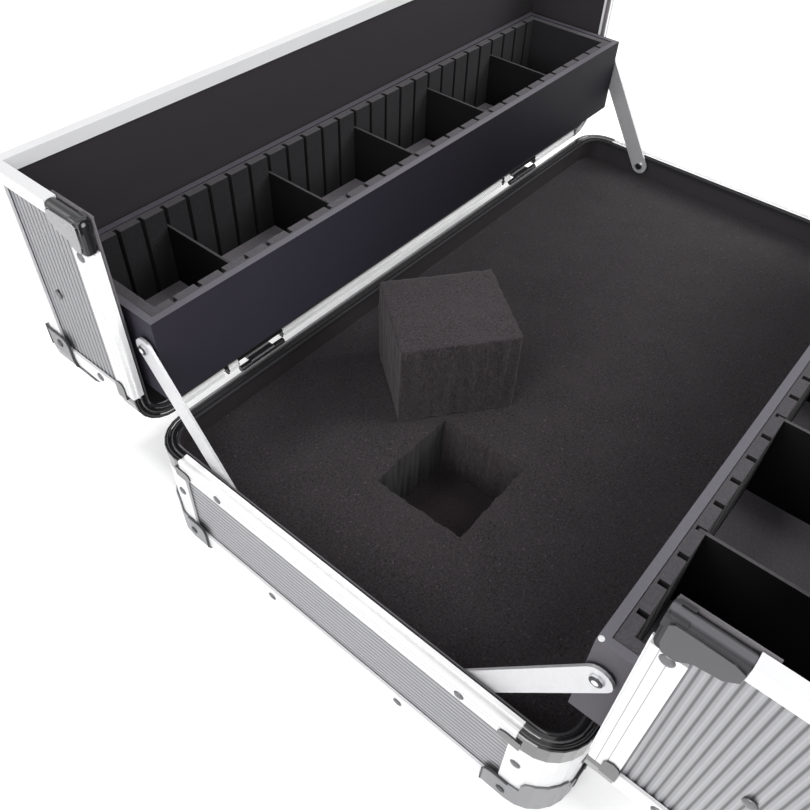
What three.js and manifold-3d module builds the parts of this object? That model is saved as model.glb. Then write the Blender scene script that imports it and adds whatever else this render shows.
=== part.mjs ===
// Hard case for knives and tools, in millimetres: a ribbed tub under two half lids, which open to
// the front and to the rear. Each lid lifts a tray that two flat struts keep level.
// X runs along the hinges, Y from the front to the rear and Z up. The origin lies under the middle
// of the tub, on the surface that the case stands on. Both lids stand open at a right angle.
import * as THREE from "three";
import { mergeVertices } from "three/addons/utils/BufferGeometryUtils.js";
import Module from "manifold-3d";

const wasm = await Module();
wasm.setup();

// Case
const CASE_LENGTH = 600;
const TUB_DEPTH = 348;
const TUB_HEIGHT = 95;
const LID_HEIGHT = 95;
const CORNER_RADIUS = 28;
const LID_MEETING_GAP = 1;
const RIM_GAP = 0.5;
const FIT_GAP = 0.3;
const OVERRUN = 2;
const WELD = 0.2;
const ARC_STEPS = 6;

// Laminated panels with a ribbed aluminium skin
const PANEL_THICKNESS = 4.3;
const RIB_DEPTH = 0.6;
const RIB_PITCH = 4.6;
const RIB_MARGIN = 1.2;

// Aluminium rim profile
const FLANGE_HEIGHT = 15.8;
const FLANGE_THICKNESS = 1.8;
const RIM_WEB = 3.2;
const RIM_LIP_DEPTH = 7;
const RIM_LIP_THICKNESS = 1.4;
const RIM_CHAMFER = 0.6;
const GROOVE_INSET = 2.6;
const GROOVE_WIDTH = 3;
const GROOVE_DEPTH = 1.5;
const TONGUE_WIDTH = 1.4;
const TONGUE_HEIGHT = 0.9;

// Black covers over the rounded corners of the rims
const COVER_THICKNESS = 0.9;
const COVER_REACH = 5;
const COVER_BEAD_INSET = 3.2;
const COVER_BEAD_WIDTH = 2;
const COVER_BEAD_DEPTH = 0.4;
const TAIL_END = 44;
const TAIL_START = 29;
const TAIL_TOP = 7.5;
const TAIL_BOTTOM = 16.5;
const TAIL_THICKNESS = 0.9;
const TAIL_ROUND_STEPS = 4;

// Aluminium angles along the outer edges and corners
const EDGE_WIDTH = 17;
const EDGE_THICKNESS = 1.8;
const EDGE_BEND = 3.5;
const CORNER_FLANGE_REACH = 36;
const TRIM_DEPTH = 9;
const TRIM_WEB = 1.5;

// Steel corner caps with an ear along each edge
const CAP_THICKNESS = 1.2;
const CAP_EAR_LENGTH = 46;
const CAP_EAR_WIDTH = 26;
const CAP_UPRIGHT_LENGTH = 40;
const CAP_UPRIGHT_WIDTH = 21;
const CAP_EAR_ROUND = 6;
const CAP_ROUND_STEPS = 8;

// Plastic pieces on the free corners of the lids
const GUARD_EDGE_LEG = 32;
const GUARD_RIM_LEG = 23;
const GUARD_PLATE_THICKNESS = 0.9;
const GUARD_PLATE_NARROW = 11;
const GUARD_PLATE_ROUND = 5;
const GUARD_WALL = 8.5;
const GUARD_CROWN = 3;

// Foam block, its pit and the cube taken out of it
const FOAM_DROP = 24;
const PIT_LENGTH = 78;
const PIT_WIDTH = 73.5;
const PIT_DEPTH = 56;
const PIT_CENTRE_SHARES = [-0.282, 0.008];
const CUBE_LENGTH = 91;
const CUBE_WIDTH = 82;
const CUBE_HEIGHT = 72;
const CUBE_TURN = -37.7;
const CUBE_CENTRE_SHARES = [-0.1587, 0.1977];

// Lid hinges
const HINGE_OFFSET = 2;
const HINGE_LENGTH = 60;
const HINGE_NOTCH = 4;
const HINGE_TAB = 11;
const HINGE_CENTRE_SHARES = { left: -0.3275, right: 0.27 };
const HINGE_LEAF_HEIGHT = 13;
const HINGE_LEAF_THICKNESS = 1.2;
const HINGE_SLOT_DEPTH = 6;
const BARREL_RADIUS = 2.4;
const BARREL_CLEARANCE = 0.5;
const HINGE_PIN_RADIUS = 1.1;
const HINGE_PIN_CLEARANCE = 0.3;
const END_KNUCKLE_SHARE = 0.23;
const BARREL_STEPS = 10;

// Tray linkage, measured from the hinge axis and from the lid's broad face
const GROUND_FORWARD = 73.5;
const GROUND_DROP = 11.75;
const LINK_FACE_GAP = 33.5;
const LINK_RISE = 93.9;
const STRUT_WIDTH = 16;
const STRUT_THICKNESS = 2;
const STRUT_INSET = 11;
const STRUT_END_STEPS = 8;
const STUD_PIN_RADIUS = 2.6;
const STUD_HEAD_RADIUS = 4;
const STUD_HEAD_THICKNESS = 1.2;
const STUD_CLEARANCE = 0.3;
const STUD_STEPS = 8;

// Trays
const TRAY_END_GAP = 15;
const TRAY_DEPTH = 106;
const TRAY_HEIGHT = 68;
const TRAY_LIFT = 37;
const TRAY_BACK_GAP = 3.35;
const TRAY_WALL = 5.2;
const TRAY_FLOOR = 3;
const LINER_THICKNESS = 7;
const LINER_DROP = 0.6;
const SLOT_PITCH = 20;
const SLOT_WIDTH = 3.2;
const SLOT_DEPTH = 5.4;
const DIVIDER_THICKNESS = 2;
const DIVIDER_HEIGHTS = { rear: 50, front: 63.5 };
const DIVIDER_END_GAP = 0.4;
const SLOTS_PER_DIVIDER_COUNT = 5;
const DIVIDER_SCOOP = 1.5;
const DIVIDER_COUNTS = { rear: [-2, -1, 0, 1, 2], front: [-2, -1, 0, 2] };

// Latches across the line where the lids meet
const LATCH_CENTRE_SHARES = { left: -0.33, right: 0.33 };
const LATCH_WIDTH = 30;
const LATCH_PLATE_LENGTH = 33;
const LATCH_PLATE_THICKNESS = 1.5;
const LATCH_PIVOT_INSET = 5;
const LATCH_PIVOT_RISE = 4.5;
const LATCH_EAR_THICKNESS = 2.5;
const LATCH_EAR_RADIUS = 3;
const LATCH_PIN_RADIUS = 1.4;
const LEVER_THICKNESS = 1.6;
const LEVER_LENGTH = 22;
const LEVER_KNUCKLE_RADIUS = 2.4;
const LEVER_HOOK_DEPTH = 2.6;
const LEVER_HOOK_THICKNESS = 2;
const CATCH_LENGTH = 18;
const CATCH_INSET = 4;
const CATCH_LIP_THICKNESS = 2.6;
const CATCH_LIP_RISE = 4.1;
const LATCH_STEPS = 8;

// Carrying handle on the front lid
const HANDLE_SPAN = 150;
const HANDLE_PLATE_WIDTH = 22;
const HANDLE_PLATE_THICKNESS = 1.5;
const HANDLE_EAR_WIDTH = 10;
const HANDLE_EAR_RADIUS = 5.5;
const HANDLE_PIVOT_INSET = 42;
const HANDLE_PIVOT_RISE = 5.5;
const HANDLE_PIN_RADIUS = 3;
const HANDLE_PIN_CLEARANCE = 0.3;
const HANDLE_ARM = 34;
const HANDLE_BEND = 9;
const HANDLE_ROD_RADIUS = 3.6;
const HANDLE_GRIP_RADIUS = 6.2;
const HANDLE_GRIP_LENGTH = 92;
const HANDLE_STEPS = 10;
const HANDLE_BEND_STEPS = 4;

// Values worked out from the sizes above
const HALF_LENGTH = CASE_LENGTH / 2;
const HALF_DEPTH = TUB_DEPTH / 2;
const CAP_PROUD = CAP_THICKNESS + FIT_GAP;
const RIM_Z = CAP_PROUD + TUB_HEIGHT;
const PANEL_INSET = FLANGE_THICKNESS + FIT_GAP;
const PANEL_INNER = PANEL_INSET + PANEL_THICKNESS;
const RIM_WIDTH = PANEL_INNER + FIT_GAP + RIM_LIP_THICKNESS;
const HINGE_Y = HALF_DEPTH + HINGE_OFFSET;
const HINGE_Z = RIM_Z + RIM_GAP / 2;
const LID_WIDTH = HALF_DEPTH - LID_MEETING_GAP / 2;
const LID_PANEL_END = LID_WIDTH - TRIM_WEB - FIT_GAP;
const LID_RIM_Y = HINGE_Y + RIM_GAP / 2;
const LID_OUTER_Z = HINGE_Z + HINGE_OFFSET;
const LINK_BACK = LID_HEIGHT - LINK_FACE_GAP;
const GROUND_PIVOT = { y: HINGE_Y - GROUND_FORWARD, z: HINGE_Z - GROUND_DROP };
const TRAY_STRUT_PIVOT = { y: GROUND_PIVOT.y + LINK_BACK, z: GROUND_PIVOT.z + LINK_RISE };
const TRAY_LID_PIVOT = { y: HINGE_Y + LINK_BACK, z: HINGE_Z + LINK_RISE };
const TRAY_HALF_LENGTH = HALF_LENGTH - TRAY_END_GAP;
const TRAY_BACK = LID_RIM_Y + LID_HEIGHT - PANEL_INNER - TRAY_BACK_GAP;
const TRAY_FRONT = TRAY_BACK - TRAY_DEPTH;
const TRAY_BOTTOM = RIM_Z + TRAY_LIFT;
const TRAY_TOP = TRAY_BOTTOM + TRAY_HEIGHT;
const QUARTER_TURN = Math.PI / 2;
const RIGHT_ANGLE = 90;

// Solids

// The closed solid of a triangle list, with its faces turned outwards.
function solidOf(points, triangles) {
  const flat = new THREE.BufferGeometry();
  flat.setAttribute("position", new THREE.Float32BufferAttribute(points.flat(), 3));
  flat.setIndex(triangles.flat());
  const merged = mergeVertices(flat);
  const index = Array.from(merged.index.array);
  const kept = [];
  for (let i = 0; i < index.length; i += 3) {
    const [a, b, c] = index.slice(i, i + 3);
    if (a !== b && b !== c && c !== a) kept.push([a, b, c]);
  }
  const position = merged.getAttribute("position");
  const corner = (i) => new THREE.Vector3().fromBufferAttribute(position, i);
  const volume = kept.reduce((sum, [a, b, c]) => sum + corner(a).dot(corner(b).cross(corner(c))), 0);
  const outward = volume < 0 ? kept.map(([a, b, c]) => [a, c, b]) : kept;
  const mesh = new wasm.Mesh({
    numProp: 3,
    vertProperties: new Float32Array(position.array),
    triVerts: new Uint32Array(outward.flat()),
  });
  return new wasm.Manifold(mesh);
}

// A solid from one of three's own closed geometries.
function solidFrom(geometry) {
  const bare = geometry.index ? geometry.toNonIndexed() : geometry;
  const values = Array.from(bare.getAttribute("position").array);
  const points = [];
  for (let i = 0; i < values.length; i += 3) points.push(values.slice(i, i + 3));
  const triangles = [];
  for (let i = 0; i < points.length; i += 3) triangles.push([i, i + 1, i + 2]);
  return solidOf(points, triangles);
}

// The triangles of a flat loop, turned the way the loop runs or against it.
function capTriangles(flat, along) {
  const contour = flat.map(([x, y]) => new THREE.Vector2(x, y));
  const clockwise = THREE.ShapeUtils.isClockWise(contour);
  return THREE.ShapeUtils.triangulateShape(contour, []).map(([a, b, c]) => {
    const runsAlong = THREE.ShapeUtils.isClockWise([contour[a], contour[b], contour[c]]) === clockwise;
    return runsAlong === along ? [a, b, c] : [a, c, b];
  });
}

// Joins a row of closed loops into a solid. An open row is closed with flat ends.
function skin(loops, joined, firstFlat, lastFlat) {
  const count = loops[0].length;
  const triangles = [];
  const rows = joined ? loops.length : loops.length - 1;
  for (let i = 0; i < rows; i += 1) {
    const here = i * count;
    const next = ((i + 1) % loops.length) * count;
    for (let j = 0; j < count; j += 1) {
      const k = (j + 1) % count;
      triangles.push([here + j, here + k, next + k]);
      triangles.push([here + j, next + k, next + j]);
    }
  }
  if (!joined) {
    const lastStart = rows * count;
    triangles.push(...capTriangles(firstFlat, false));
    capTriangles(lastFlat, true).forEach((face) => triangles.push(face.map((i) => i + lastStart)));
  }
  return solidOf(loops.flat(), triangles);
}

// Carries a profile of [inset, height] pairs along stations that each have an inward direction.
function sweep(profileAt, stations, joined) {
  const loops = stations.map((s) =>
    profileAt(s).map(([inset, height]) => [s.x + s.nx * inset, s.y + s.ny * inset, height]),
  );
  const first = profileAt(stations[0]);
  const last = profileAt(stations[stations.length - 1]);
  return skin(loops, joined, first, last);
}

// Stacks an outline at levels of [inset, height] into a solid with a flat bottom and top.
function stack(levels, outline) {
  const loops = levels.map(([inset, height]) =>
    outline.map((s) => [s.x + s.nx * inset, s.y + s.ny * inset, height]),
  );
  return skin(loops, false, loops[0], loops[loops.length - 1]);
}

function box(low, high) {
  const size = high.map((value, i) => value - low[i]);
  const geometry = new THREE.BoxGeometry(...size);
  geometry.translate(...low.map((value, i) => value + size[i] / 2));
  return solidFrom(geometry);
}

// A cylinder whose axis lies along X.
function rod(x0, x1, y, z, radius, steps) {
  const geometry = new THREE.CylinderGeometry(radius, radius, x1 - x0, steps);
  geometry.rotateZ(QUARTER_TURN);
  geometry.translate((x0 + x1) / 2, y, z);
  return solidFrom(geometry);
}

// A flat outline in Y and Z, made x1 - x0 thick.
function slab(x0, x1, outline) {
  const loops = [x0, x1].map((x) => outline.map(([y, z]) => [x, y, z]));
  return skin(loops, false, outline, outline);
}

function joinAll(solids) {
  return solids.reduce((whole, piece) => whole.add(piece));
}

// Pieces in the scene

const MATERIALS = {
  ribbed_aluminium: { color: 0x9c9ca2, roughness: 0.42, metalness: 0.8 },
  bright_aluminium: { color: 0xe6e6ea, roughness: 0.3, metalness: 0.85 },
  black_plastic: { color: 0x151517, roughness: 0.22, metalness: 0 },
  corner_steel: { color: 0xb4b4b8, roughness: 0.25, metalness: 0.9 },
  satin_aluminium: { color: 0xd8d8dc, roughness: 0.35, metalness: 0.85 },
  hinge_steel: { color: 0xd2d2d6, roughness: 0.3, metalness: 0.9 },
  block_foam: { color: 0x2b2b2d, roughness: 0.95, metalness: 0 },
  tray_board: { color: 0x23222a, roughness: 0.5, metalness: 0 },
  liner_foam: { color: 0x3e3c40, roughness: 0.85, metalness: 0 },
  divider_board: { color: 0x262629, roughness: 0.8, metalness: 0 },
  latch_steel: { color: 0xc8c8cc, roughness: 0.28, metalness: 0.9 },
};

function piece(name, solid, materialName) {
  const made = solid.getMesh();
  const geometry = new THREE.BufferGeometry();
  geometry.setAttribute("position", new THREE.BufferAttribute(new Float32Array(made.vertProperties), 3));
  geometry.setIndex(new THREE.BufferAttribute(new Uint32Array(made.triVerts), 1));
  const material = new THREE.MeshStandardMaterial({ ...MATERIALS[materialName], flatShading: true });
  const mesh = new THREE.Mesh(geometry, material);
  mesh.name = name;
  return mesh;
}

// Outlines of the tub and of a lid, which lies rim up with its hinge side at y = 0

function arc(centreX, centreY, start) {
  const stations = [];
  for (let i = 0; i <= ARC_STEPS; i += 1) {
    const angle = start + (i / ARC_STEPS) * QUARTER_TURN;
    const [cos, sin] = [Math.cos(angle), Math.sin(angle)];
    stations.push({
      x: centreX + CORNER_RADIUS * cos,
      y: centreY + CORNER_RADIUS * sin,
      nx: -cos,
      ny: -sin,
      covered: true,
    });
  }
  return stations;
}

// An arc with a short straight run at each end, where the corner cover starts and stops.
function coveredArc(centreX, centreY, start) {
  const stations = arc(centreX, centreY, start);
  const [first, last] = [stations[0], stations[stations.length - 1]];
  const before = { ...first, x: first.x - first.ny * COVER_REACH, y: first.y + first.nx * COVER_REACH };
  const after = { ...last, x: last.x + last.ny * COVER_REACH, y: last.y - last.nx * COVER_REACH };
  return [
    { ...before, covered: false },
    before,
    ...stations,
    after,
    { ...after, covered: false },
  ];
}

function tubOutline(corner) {
  const [x, y] = [HALF_LENGTH - CORNER_RADIUS, HALF_DEPTH - CORNER_RADIUS];
  return [
    ...corner(x, y, 0),
    ...corner(-x, y, QUARTER_TURN),
    ...corner(-x, -y, 2 * QUARTER_TURN),
    ...corner(x, -y, 3 * QUARTER_TURN),
  ];
}

function lidOutline(corner, freeY) {
  const x = HALF_LENGTH - CORNER_RADIUS;
  return [
    { x: -HALF_LENGTH, y: freeY, nx: 1, ny: 0, covered: false },
    ...corner(-x, CORNER_RADIUS, 2 * QUARTER_TURN),
    ...corner(x, CORNER_RADIUS, 3 * QUARTER_TURN),
    { x: HALF_LENGTH, y: freeY, nx: -1, ny: 0, covered: false },
  ];
}

// Rim frames

// The rim's section, with a groove on the tub and a tongue on the lids.
function rimProfile(hasTongue) {
  const middle = GROOVE_INSET + GROOVE_WIDTH / 2;
  const half = (hasTongue ? TONGUE_WIDTH : GROOVE_WIDTH) / 2;
  const key = hasTongue ? TONGUE_HEIGHT : -GROOVE_DEPTH;
  return [
    [0, -FLANGE_HEIGHT],
    [0, -RIM_CHAMFER],
    [RIM_CHAMFER, 0],
    [middle - half, 0],
    [middle - half, key],
    [middle + half, key],
    [middle + half, 0],
    [RIM_WIDTH, 0],
    [RIM_WIDTH, -RIM_LIP_DEPTH],
    [RIM_WIDTH - RIM_LIP_THICKNESS, -RIM_LIP_DEPTH],
    [RIM_WIDTH - RIM_LIP_THICKNESS, -RIM_WEB],
    [FLANGE_THICKNESS, -RIM_WEB],
    [FLANGE_THICKNESS, -FLANGE_HEIGHT],
  ];
}

// Under a corner cover the rim is set back by the cover's thickness.
function rimFrame(outline, joined, hasTongue) {
  const setBack = COVER_THICKNESS + FIT_GAP;
  const plain = rimProfile(hasTongue);
  const recessed = plain.map(([inset, height]) => [Math.max(inset, setBack), Math.min(height, -setBack)]);
  return sweep((station) => (station.covered ? recessed : plain), outline, joined);
}

// The cover for the corner whose sharp point would be at 0, 0.
function rimCornerCover() {
  const bead = COVER_BEAD_INSET;
  const profile = [
    [0, -FLANGE_HEIGHT],
    [0, -RIM_CHAMFER],
    [RIM_CHAMFER, 0],
    [bead, 0],
    [bead + COVER_BEAD_DEPTH, -COVER_BEAD_DEPTH],
    [bead + COVER_BEAD_WIDTH - COVER_BEAD_DEPTH, -COVER_BEAD_DEPTH],
    [bead + COVER_BEAD_WIDTH, 0],
    [RIM_WIDTH, 0],
    [RIM_WIDTH, -COVER_THICKNESS],
    [COVER_THICKNESS, -COVER_THICKNESS],
    [COVER_THICKNESS, -FLANGE_HEIGHT],
  ];
  const stations = coveredArc(CORNER_RADIUS, CORNER_RADIUS, 2 * QUARTER_TURN).slice(1, -1);
  const [first, last] = [stations[0], stations[stations.length - 1]];
  first.y -= FIT_GAP;
  last.x -= FIT_GAP;
  const bend = sweep(() => profile, stations, false);
  return joinAll([bend, coverTail(false), coverTail(true)]);
}

// A tongue with a round end, which laps over the rim's flange past each end of the cover.
function coverTail(alongX) {
  const outline = [[TAIL_START, -TAIL_BOTTOM]];
  const radius = (TAIL_BOTTOM - TAIL_TOP) / 2;
  for (let i = 0; i <= TAIL_ROUND_STEPS; i += 1) {
    const turn = (i / TAIL_ROUND_STEPS) * Math.PI - QUARTER_TURN;
    outline.push([
      TAIL_END - radius + radius * Math.cos(turn),
      radius * Math.sin(turn) - TAIL_TOP - radius,
    ]);
  }
  outline.push([TAIL_START, -TAIL_TOP]);
  const lap = slab(-TAIL_THICKNESS - FIT_GAP, -FIT_GAP, outline);
  const root = box(
    [-TAIL_THICKNESS, TAIL_START, -FLANGE_HEIGHT],
    [WELD, CORNER_RADIUS + COVER_REACH - FIT_GAP, -TAIL_TOP],
  );
  const tail = lap.add(root);
  return alongX ? tail.rotate([0, 0, RIGHT_ANGLE]).scale([-1, 1, 1]) : tail;
}

// Edge angles and corner caps

function edgeLevels(height, extra) {
  return [
    [EDGE_BEND - extra, -height - extra],
    [EDGE_BEND * BEND_SHARE - extra, -height + EDGE_BEND * BEND_SHARE - extra],
    [-extra, -height + EDGE_BEND],
    [-extra, -height + CAP_EAR_LENGTH],
  ];
}

const BEND_SHARE = 0.29;

function edgeProfile(height) {
  const inner = EDGE_THICKNESS;
  return [
    [0, EDGE_WIDTH - height],
    [0, EDGE_BEND - height],
    [EDGE_BEND * BEND_SHARE, EDGE_BEND * BEND_SHARE - height],
    [EDGE_BEND, -height],
    [EDGE_WIDTH, -height],
    [EDGE_WIDTH, inner - height],
    [EDGE_BEND, inner - height],
    [inner, EDGE_BEND - height],
    [inner, EDGE_WIDTH - height],
  ];
}

// The upright angle round the corner whose sharp point would be at 0, 0.
function cornerAngle(height) {
  const path = arc(CORNER_RADIUS, CORNER_RADIUS, 2 * QUARTER_TURN);
  const outer = [[0, CORNER_FLANGE_REACH], ...path.map((s) => [s.x, s.y]), [CORNER_FLANGE_REACH, 0]];
  const thickness = EDGE_THICKNESS;
  const inner = [
    [thickness, CORNER_FLANGE_REACH],
    ...path.map((s) => [s.x + s.nx * thickness, s.y + s.ny * thickness]),
    [CORNER_FLANGE_REACH, thickness],
  ];
  const outline = [...outer, ...inner.reverse()];
  const levels = [EDGE_BEND - height, -FLANGE_HEIGHT - FIT_GAP];
  const loops = levels.map((z) => outline.map(([x, y]) => [x, y, z]));
  return skin(loops, false, outline, outline);
}

function atCorner(solid, signX, signY, x, y) {
  return solid.scale([signX, signY, 1]).translate([x, y, 0]);
}

// A block from beyond the corner to the given reach, with its far edges rounded.
function roundedReach(reachX, reachY, reachZ) {
  const near = -CAP_EAR_LENGTH;
  const balls = [];
  for (const x of [near, reachX - CAP_EAR_ROUND]) {
    for (const y of [near, reachY - CAP_EAR_ROUND]) {
      for (const z of [near, reachZ - CAP_EAR_ROUND]) {
        balls.push(wasm.Manifold.sphere(CAP_EAR_ROUND, CAP_ROUND_STEPS).translate([x, y, z]));
      }
    }
  }
  return wasm.Manifold.hull(balls);
}

function cornerCap(height) {
  const side = 2 * CAP_EAR_LENGTH;
  const outline = [
    ...arc(CORNER_RADIUS, CORNER_RADIUS, 2 * QUARTER_TURN),
    { x: side, y: 0, nx: 0, ny: 1 },
    { x: side, y: side, nx: 0, ny: 0 },
    { x: 0, y: side, nx: 1, ny: 0 },
  ];
  const outside = stack(edgeLevels(height, CAP_PROUD), outline);
  const inside = stack(edgeLevels(height, FIT_GAP), outline);
  const ears = joinAll([
    roundedReach(CAP_EAR_LENGTH, CAP_EAR_WIDTH, CAP_EAR_WIDTH),
    roundedReach(CAP_EAR_WIDTH, CAP_EAR_LENGTH, CAP_EAR_WIDTH),
    roundedReach(CAP_UPRIGHT_WIDTH, CAP_UPRIGHT_WIDTH, CAP_UPRIGHT_LENGTH),
  ]);
  return outside.subtract(inside).intersect(ears.translate([0, 0, -height]));
}

// Ribbed panels

function ribPoints(from, to) {
  const count = Math.floor((to - from) / RIB_PITCH);
  const start = (from + to - count * RIB_PITCH) / 2;
  const points = [];
  for (let i = 0; i < count; i += 1) {
    const low = start + i * RIB_PITCH;
    points.push([RIB_DEPTH, low], [0, low + RIB_PITCH / 2]);
  }
  points.push([RIB_DEPTH, start + count * RIB_PITCH]);
  return points;
}

// A ribbed skin as a closed outline: ribs on one side, a plain back that sinks into the panel.
function ribbedSection(from, to) {
  return [...ribPoints(from, to), [RIB_DEPTH + WELD, to], [RIB_DEPTH + WELD, from]];
}

function wallRibs(halfRun, height) {
  const section = ribbedSection(EDGE_WIDTH - height - RIB_MARGIN, RIB_MARGIN - FLANGE_HEIGHT);
  const loops = [-halfRun, halfRun].map((run) => section.map(([inset, z]) => [run, PANEL_INSET + inset, z]));
  return skin(loops, false, section, section);
}

function turnedAboutZ(solid, turns) {
  return solid.rotate([0, 0, turns * RIGHT_ANGLE]);
}

function panelWalls(outline, cavityOutline, height) {
  const top = -RIM_WEB - FIT_GAP;
  const underside = -height + PANEL_INSET;
  const skinInset = PANEL_INSET + RIB_DEPTH;
  const outside = stack([[skinInset, underside + EDGE_BEND], [skinInset, top]], outline);
  const foot = stack(
    [
      [skinInset + EDGE_BEND, underside],
      [skinInset, underside + EDGE_BEND],
    ],
    outline,
  );
  const cavity = stack([[PANEL_INNER, underside + PANEL_THICKNESS], [PANEL_INNER, OVERRUN]], cavityOutline);
  return outside.add(foot).subtract(cavity);
}

// Riveted studs of the tray linkage, along X from a wall towards the middle of the case
function stud(side, x0, shoulder, pinEnd, headEnd, pivot) {
  const reach = [x0, shoulder, pinEnd].concat(headEnd === null ? [] : [headEnd]);
  const radii = [STUD_HEAD_RADIUS, STUD_PIN_RADIUS, STUD_HEAD_RADIUS];
  const solids = [];
  for (let i = 0; i + 1 < reach.length; i += 1) {
    const from = i === 0 ? reach[i] : reach[i] + Math.sign(reach[i] - reach[i + 1]) * WELD;
    const ends = [side * from, side * reach[i + 1]].sort((a, b) => a - b);
    solids.push(rod(ends[0], ends[1], pivot.y, pivot.z, radii[i], STUD_STEPS));
  }
  return joinAll(solids);
}

const STRUT_OUTER = HALF_LENGTH - STRUT_INSET;
const STRUT_INNER = STRUT_OUTER - STRUT_THICKNESS;

function groundStud(side, pivot) {
  const wall = HALF_LENGTH - PANEL_INNER + WELD;
  const pinEnd = STRUT_INNER - FIT_GAP;
  return stud(side, wall, STRUT_OUTER + FIT_GAP, pinEnd, pinEnd - STUD_HEAD_THICKNESS, pivot);
}

function trayStud(side) {
  const pinEnd = STRUT_OUTER + FIT_GAP;
  const wall = TRAY_HALF_LENGTH - WELD;
  return stud(side, wall, STRUT_INNER - FIT_GAP, pinEnd, pinEnd + STUD_HEAD_THICKNESS, TRAY_STRUT_PIVOT);
}

function lidStud(side) {
  const wall = HALF_LENGTH - PANEL_INNER + WELD;
  const pivot = {
    y: TRAY_LID_PIVOT.z - LID_OUTER_Z,
    z: LID_RIM_Y - TRAY_LID_PIVOT.y,
  };
  const pinEnd = TRAY_HALF_LENGTH - TRAY_WALL + FIT_GAP;
  return stud(side, wall, TRAY_HALF_LENGTH + FIT_GAP, pinEnd, null, pivot);
}

// Tub

function tubShell() {
  const outline = tubOutline(arc);
  const walls = panelWalls(outline, outline, TUB_HEIGHT);
  const endRun = HALF_DEPTH - CORNER_RADIUS;
  const longRun = HALF_LENGTH - CORNER_RADIUS;
  const longSkin = wallRibs(longRun, TUB_HEIGHT).translate([0, -HALF_DEPTH, 0]);
  const endSkin = wallRibs(endRun, TUB_HEIGHT).translate([0, -HALF_LENGTH, 0]);
  const skins = [longSkin, turnedAboutZ(longSkin, 2), turnedAboutZ(endSkin, 1), turnedAboutZ(endSkin, 3)];
  const studs = [];
  for (const side of [-1, 1]) {
    for (const end of [-1, 1]) {
      studs.push(groundStud(side, { y: end * GROUND_PIVOT.y, z: GROUND_PIVOT.z - RIM_Z }));
    }
  }
  return joinAll([walls, ...skins, ...studs]);
}

function hingeSpans() {
  return Object.entries(HINGE_CENTRE_SHARES).map(([name, share]) => {
    const start = share * CASE_LENGTH - HINGE_LENGTH / 2;
    return {
      name,
      start,
      tabStart: start + HINGE_NOTCH,
      gapStart: start + HINGE_NOTCH + HINGE_TAB,
      end: start + HINGE_LENGTH,
    };
  });
}

// The lengths of a hinge's barrel: two end knuckles on the tub and one between them on the lid.
function knuckles(span) {
  const length = span.end - span.gapStart;
  const endLength = length * END_KNUCKLE_SHARE;
  return {
    first: [span.gapStart + FIT_GAP, span.gapStart + endLength],
    middle: [span.gapStart + endLength + FIT_GAP, span.end - endLength - FIT_GAP],
    last: [span.end - endLength, span.end - FIT_GAP],
  };
}

function tubRimFrame() {
  let frame = rimFrame(tubOutline(coveredArc), true, false);
  for (const end of [-1, 1]) {
    for (const span of hingeSpans()) {
      const axis = { y: end * HINGE_Y, z: HINGE_Z - RIM_Z };
      const room = rod(span.gapStart, span.end, axis.y, axis.z, BARREL_RADIUS + BARREL_CLEARANCE, BARREL_STEPS);
      frame = frame.subtract(room);
    }
  }
  return frame;
}

function tubEdgeFrame() {
  const ring = sweep(() => edgeProfile(TUB_HEIGHT), tubOutline(arc), true);
  const upright = cornerAngle(TUB_HEIGHT);
  const uprights = [];
  for (const signX of [-1, 1]) {
    for (const signY of [-1, 1]) {
      uprights.push(atCorner(upright, -signX, -signY, signX * HALF_LENGTH, signY * HALF_DEPTH));
    }
  }
  return joinAll([ring, ...uprights]);
}

function foamBlock() {
  const outline = tubOutline(arc);
  const inset = PANEL_INNER + FIT_GAP;
  const bottom = -TUB_HEIGHT + PANEL_INSET + PANEL_THICKNESS + FIT_GAP;
  const block = stack([[inset, bottom], [inset, -FOAM_DROP]], outline);
  const [x, y] = [PIT_CENTRE_SHARES[0] * CASE_LENGTH, PIT_CENTRE_SHARES[1] * TUB_DEPTH];
  const pit = box(
    [x - PIT_LENGTH / 2, y - PIT_WIDTH / 2, -FOAM_DROP - PIT_DEPTH],
    [x + PIT_LENGTH / 2, y + PIT_WIDTH / 2, OVERRUN],
  );
  return block.subtract(pit);
}

function addTub(parent) {
  const tub = new THREE.Group();
  tub.position.z = RIM_Z;
  tub.add(piece("base_shell", tubShell(), "ribbed_aluminium"));
  tub.add(piece("base_rim_frame", tubRimFrame(), "bright_aluminium"));
  tub.add(piece("base_edge_frame", tubEdgeFrame(), "bright_aluminium"));
  const cover = rimCornerCover();
  const cap = cornerCap(TUB_HEIGHT);
  for (const [depthName, signY] of [["front", -1], ["rear", 1]]) {
    for (const [sideName, signX] of [["left", -1], ["right", 1]]) {
      const place = [-signX, -signY, signX * HALF_LENGTH, signY * HALF_DEPTH];
      const name = depthName + "_" + sideName;
      tub.add(piece("base_rim_corner_" + name, atCorner(cover, ...place), "black_plastic"));
      tub.add(piece("base_corner_cap_" + name, atCorner(cap, ...place), "corner_steel"));
    }
  }
  tub.add(piece("foam_block", foamBlock(), "block_foam"));
  parent.add(tub);

  const cube = piece(
    "foam_cube",
    box([-CUBE_LENGTH / 2, -CUBE_WIDTH / 2, 0], [CUBE_LENGTH / 2, CUBE_WIDTH / 2, CUBE_HEIGHT]),
    "block_foam",
  );
  cube.position.set(
    CUBE_CENTRE_SHARES[0] * CASE_LENGTH,
    CUBE_CENTRE_SHARES[1] * TUB_DEPTH,
    RIM_Z - FOAM_DROP + FIT_GAP,
  );
  cube.rotation.z = THREE.MathUtils.degToRad(CUBE_TURN);
  parent.add(cube);
}

// Lids, rim up with the hinge side at y = 0 and the free side open

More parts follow.
